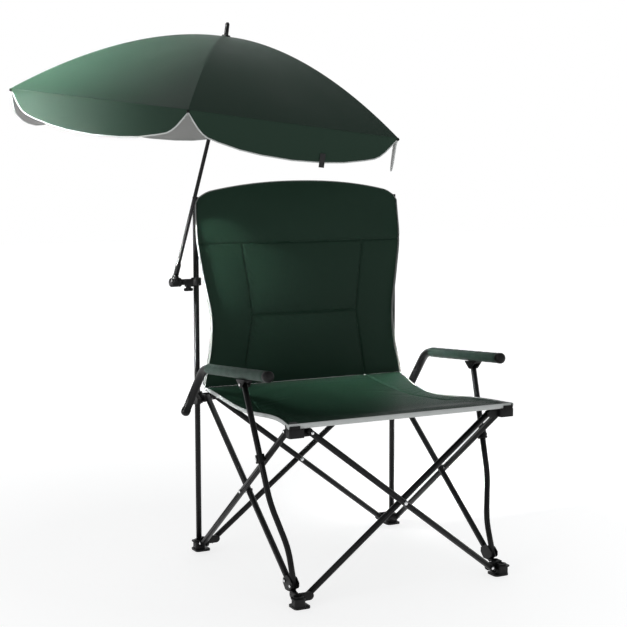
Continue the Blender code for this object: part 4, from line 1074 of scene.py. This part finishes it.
canopy = {
    "rim": (-0.2548, 0.2502, 1.1530),
    "lean": (0.1087, -0.0721, 1.0),
    "heading": -120.0,
    "radius": 0.5430,
    "rise": 0.2047,
    "power": 1.85,
    "ribs": 6,
    "flap": 0.0820,
    "thickness": 0.0012,
    "innerRing": 0.014,
    "sag": 0.0035,
    "rings": 46,
    "flapRows": 9,
    "across": 41,
    "flapShares": (0.0, 0.03, 0.06, 0.09, 0.15, 0.25, 0.35, 0.50),
    "flapDepths": (0.05, 0.30, 0.52, 0.66, 0.76, 0.89, 0.96, 1.0),
    "flapBell": 0.004,
    "pipe": 0.0017,
    "hem": 0.0011,
    "hemLiftShare": 0.4,
}
ribCap = {
    "length": 0.013,
    "below": 0.0036,
    "radii": (0.0020, 0.0026, 0.0026, 0.0034, 0.0034, 0.0028, 0.0012),
    "heights": (0.0, 0.0006, 0.0085, 0.0090, 0.0125, 0.0140, 0.0147),
}
canopyAxis = np.array(canopy["lean"]) / np.linalg.norm(canopy["lean"])
canopyApex = np.array(canopy["rim"]) + canopyAxis * canopy["rise"]
heading = math.radians(canopy["heading"])
headingFlat = np.array([math.cos(heading), math.sin(heading), 0.0])
headingU = headingFlat - canopyAxis * headingFlat.dot(canopyAxis)
headingU /= np.linalg.norm(headingU)
headingV = np.cross(canopyAxis, headingU)


def ribDirection(number):
    turn = 2 * math.pi * number / canopy["ribs"]
    return headingU * math.cos(turn) + headingV * math.sin(turn)


# Point of the cover: outward along a blend of two ribs' directions, down by a power of the share of the
# radius, with a little sag between the ribs, sag sin(pi ring) 4 s (1 - s) for a share s across.
def coverPoint(number, across, ring):
    neighbour = np.where(across[..., None] < 0, ribDirection(number - 1), ribDirection(number + 1))
    share = np.abs(across)
    outward = ribDirection(number) * (1 - share[..., None]) + neighbour * share[..., None]
    sag = canopy["sag"] * np.sin(np.pi * np.minimum(ring, 1)) * 4 * share * (1 - share)
    drop = canopy["rise"] * ring ** canopy["power"] + sag
    return canopyApex + outward * canopy["radius"] * ring[..., None] - canopyAxis * drop[..., None]


# The flap is cut nearly to the hem at each rib and is deepest between two ribs, as the shares give it.
def flapDepth(across):
    return canopy["flap"] * np.interp(np.abs(across), canopy["flapShares"], canopy["flapDepths"])


# Rings grow outwards by a square, so they are close near the crown. The flap hangs straight down the axis
# from the last ring, and its edge is drawn in by sin of a quarter turn.
def coverGrid(number):
    side = np.linspace(-0.5, 0.5, canopy["across"])
    ring = np.linspace(canopy["innerRing"] ** 0.5, 1.0, canopy["rings"]) ** 2
    ring[0] = canopy["innerRing"]
    r, s = np.meshgrid(ring, side, indexing="ij")
    dome = coverPoint(number, s, r)
    hem = dome[-1]
    steps = np.linspace(0, 1, canopy["flapRows"] + 1)[1:, None, None]
    bell = canopy["flapBell"] * np.sin(steps * np.pi / 2)
    outward = hem - canopyApex
    outward -= canopyAxis * (outward @ canopyAxis)[:, None]
    outward /= np.linalg.norm(outward, axis=1, keepdims=True)
    flap = hem - canopyAxis * flapDepth(side)[:, None] * steps - outward * bell
    return np.concatenate([dome, flap])


# Each part gets a mesh of its own.
def foldWithRib(piece):
    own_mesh(piece)


# The rib's end: a moulded cap in a pocket inside the hem, with a rounded tip that looks out below the cloth.
def makeRibCap(number, tip):
    slope = canopy["rise"] * canopy["power"] / canopy["radius"]
    along = ribDirection(number) - canopyAxis * slope
    along /= np.linalg.norm(along)
    foot = tip - along * ribCap["length"] - canopyAxis * ribCap["below"]
    turnedCopies("ribCap_%d" % (number + 1), [inRow(foot)], [along], ribCap["radii"], ribCap["heights"],
                 hardMaterials["plastic_black"], "rib_arm_%d" % (number + 1))


def makeCover(number):
    outer = coverGrid(number)
    normal = gridNormals(outer)
    inner = outer - normal * canopy["thickness"]
    points, faces, looks, uv = shellParts(inRow(outer), inRow(inner))
    body = "rib_arm_%d" % (number + 1)
    cover = newPiece("canopyPanel_%d" % (number + 1), points, faces,
                     [clothMaterials["canopyCloth"], clothMaterials["paleLining"]], body,
                     sharp=32, uv=uv, materialIndex=looks)
    if number == 0:
        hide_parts("canopy")
    lip = outer[-1] - normal[-1] * canopy["thickness"] / 2
    pipe = tubePiece("canopyPiping_%d" % (number + 1), inRow(lip), canopy["pipe"], canopy["pipe"], canopyAxis,
                     clothMaterials["paleTape"], body, sides=8)
    rim = canopy["rings"] - 1
    fold = outer[rim] + normal[rim] * canopy["hem"] * canopy["hemLiftShare"]
    hem = tubePiece("canopyHem_%d" % (number + 1), inRow(fold), canopy["hem"], canopy["hem"], canopyAxis,
                    clothMaterials["canopyCloth"], body, sides=8)
    for piece in (cover, pipe, hem):
        foldWithRib(piece)
    makeRibCap(number, outer[rim, canopy["across"] // 2])


for number in range(canopy["ribs"]):
    makeCover(number)
print("canopy made")


# Foam grips on the arms, slightly fuller between their ends

grip = {
    "front": (0.3263, -0.2083, 0.5390),
    "bend": (0.3343, 0.1650, 0.5110),
    "startShare": 0.055,
    "endShare": 0.925,
    "radius": 0.0132,
    "bore": 0.0113,
    "rings": 60,
    "sides": 28,
    "rounding": 0.0035,
    "rimShare": 0.25,
    "waviness": 0.0002,
    "waves": 55,
}


# Grip: a round carried from the arm's front to its bend. The radius grows from a share of the foam's wall at
# the ends to the whole wall, by a quarter circle, and waves a little along its length.
def makeGrip(side, sign):
    mirror = np.array([sign, 1, 1])
    front, bend = np.array(grip["front"]) * mirror, np.array(grip["bend"]) * mirror
    start, end = (front + (bend - front) * grip[k] for k in ("startShare", "endShare"))
    length = np.linalg.norm(end - start)
    t = np.linspace(0, 1, grip["rings"])
    near = np.minimum(t, 1 - t) * length
    rounding = np.sqrt(np.clip(1 - (1 - np.minimum(near / grip["rounding"], 1)) ** 2, 0, 1))
    wall = (grip["radius"] - grip["bore"]) * (grip["rimShare"] + (1 - grip["rimShare"]) * rounding)
    radius = grip["bore"] + wall + grip["waviness"] * np.sin(t * grip["waves"]) * rounding
    path = start + (end - start) * t[:, None]
    points, faces, uv = tubeParts(inRow(path), radius, radius, (0, 0, 1), sides=grip["sides"])
    made = newPiece("gripFoam" + side.capitalize(), points, faces, [foamMaterial], side + "_arm",
                    sharp=60, uv=uv)
    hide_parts("grip_" + side)


for side, sign in (("left", -1), ("right", 1)):
    makeGrip(side, sign)
print("grips made")


# Strap end under the umbrella's flap: one web folded back on itself and sewn across

strap = {
    "panel": 1,
    "across": -0.36,
    "halfWidth": 0.0068,
    "above": 0.0240,
    "below": 0.0088,
    "shortShare": 0.5,
    "thickness": 0.0009,
    "inside": 0.0018,
    "fold": 0.0017,
    "turnShares": (0.45, 0.50, 0.55),
    "rows": 40,
    "columns": 9,
    "seams": (0.30, 0.42),
    "seamShare": 0.86,
    "seamSink": 0.2,
}


# Strap: down one layer, round a half turn as deep as fold by a cosine, and up the other, shorter layer.
def makeStrap():
    flap = coverPoint(strap["panel"], np.array([strap["across"]]), np.array([1.0]))[0]
    foot = flap - canopyAxis * canopy["flap"]
    along = ribDirection(strap["panel"]) - ribDirection(strap["panel"] - 1)
    along /= np.linalg.norm(along)
    inwards = np.cross(canopyAxis, along)
    t = np.linspace(0, 1, strap["rows"])
    turnStart, _, turnEnd = strap["turnShares"]
    depth = (1 - np.cos(np.clip((t - turnStart) / (turnEnd - turnStart), 0, 1) * np.pi)) / 2
    turnHeight = -strap["below"] + strap["fold"] / 2
    heights = (strap["above"], turnHeight, -strap["below"], turnHeight, strap["above"] * strap["shortShare"])
    height = np.interp(t, (0, *strap["turnShares"], 1), heights)
    path = foot + inwards * (strap["inside"] + depth * strap["fold"])[:, None] + canopyAxis * height[:, None]
    side = np.linspace(-1, 1, strap["columns"]) * strap["halfWidth"]
    grid = path[:, None] + along * side[None, :, None]
    under = grid - gridNormals(grid) * strap["thickness"]
    points, faces, _, uv = shellParts(inRow(grid), inRow(under))
    made = newPiece("strapWeb", points, faces, [clothMaterials["blackWeb"]], "rib_arm_2",
                    sharp=60, uv=uv)
    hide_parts("canopy_strap")
    row = foot + inwards * (strap["inside"] - strap["thickness"] * strap["seamSink"])
    row = row + along * side[:, None] * strap["seamShare"]
    rows = [inRow(row + canopyAxis * (strap["above"] * share - strap["below"])) for share in strap["seams"]]
    seam = stitchLine("strapStitches", rows, clothMaterials["greenThread"], "rib_arm_2")
    for piece in (made, seam):
        foldWithRib(piece)


makeStrap()
print("strap made")


# Bright rivet heads set in the pins' dark heads: place and outward way of each, in the chair's frame

rivetHead = {
    "radii": (0.0030, 0.0037, 0.0034, 0.0022, 0.0005),
    "heights": (-0.0004, 0.0002, 0.0009, 0.0014, 0.0016),
    "lift": 0.0021,
    "sides": 20,
}
rivetPlaces = {
    "left_front_foot": ((-0.2535, -0.2492, 0.0230, 0, 1, 0), (-0.2772, -0.2458, 0.0255, 1, 0, 0)),
    "right_front_foot": ((0.2535, -0.2830, 0.0230, 0, -1, 0), (0.2772, -0.2458, 0.0255, -1, 0, 0)),
    "left_pole": ((-0.2535, 0.3010, 0.0260, 0, 1, 0), (-0.3079, 0.2612, 0.0255, -1, 0, 0)),
    "right_pole": ((0.2535, 0.2672, 0.0260, 0, -1, 0), (0.3079, 0.2612, 0.0255, 1, 0, 0)),
    "left_corner": ((-0.2535, -0.2830, 0.4130, 0, -1, 0), (-0.3079, -0.2458, 0.4155, -1, 0, 0)),
    "right_corner": ((0.2535, -0.2492, 0.4130, 0, 1, 0), (0.3079, -0.2458, 0.4155, 1, 0, 0)),
    "left_slider": ((-0.2535, 0.2672, 0.4160, 0, -1, 0), (-0.2741, 0.2612, 0.4155, 1, 0, 0)),
    "right_slider": ((0.2535, 0.3010, 0.4160, 0, 1, 0), (0.2741, 0.2612, 0.4155, -1, 0, 0)),
    "left_cross_inner": ((-0.2918, -0.2429, 0.0450, -1, 0, 0), (-0.2918, -0.2133, 0.0505, -1, 0, 0)),
    "right_cross_inner": ((0.2918, -0.2429, 0.0450, 1, 0, 0), (0.2918, -0.2133, 0.0505, 1, 0, 0)),
    "left_sleeve": ((-0.3281, -0.1373, 0.3320, -1, 0, 0),),
    "right_sleeve": ((0.3281, -0.1373, 0.3320, 1, 0, 0),),
    "left_arm": ((-0.3409, -0.0743, 0.5030, -1, 0, 0),),
    "right_arm": ((0.3409, -0.0743, 0.5030, 1, 0, 0),),
}

for body, rows in rivetPlaces.items():
    places, outwards = np.hsplit(np.array(rows, float), 2)
    turnedCopies("rivetHeads_" + body, inRow(places + outwards * rivetHead["lift"]), outwards,
                 rivetHead["radii"], rivetHead["heights"], hardMaterials["rivet_steel"], body,
                 sides=rivetHead["sides"])
print("rivet heads made")


# Floor: one square whose glow grows with the distance from the middle.
def makeFloor():
    half, level = studio["floorHalf"], studio["floorZ"]
    corners = [(-half, -half, level), (half, -half, level), (half, half, level), (-half, half, level)]
    mesh = bpy.data.meshes.new("floor")
    mesh.from_pydata(corners, [], [(0, 1, 2, 3)])
    made, tree, shader = startMaterial("paleFloor", studio["floor"], studio["floorRoughness"],
                                       specular=studio["floorSpecular"])
    shader.inputs["Emission Color"].default_value = (*white, 1.0)
    length = tree.nodes.new("ShaderNodeVectorMath")
    length.operation = "LENGTH"
    linkNodes(tree, coordinates(tree), length.inputs[0])
    glow = tree.nodes.new("ShaderNodeMapRange")
    linkNodes(tree, length.outputs["Value"], glow.inputs["Value"])
    near, far, start, end = studio["floorGlow"]
    for label, value in (("From Min", start), ("From Max", end), ("To Min", near), ("To Max", far)):
        glow.inputs[label].default_value = value
    linkNodes(tree, glow.outputs[0], shader.inputs["Emission Strength"])
    mesh.materials.append(made)
    floor = bpy.data.objects.new("floor", mesh)
    bpy.context.scene.collection.objects.link(floor)


makeFloor()
print("floor laid")
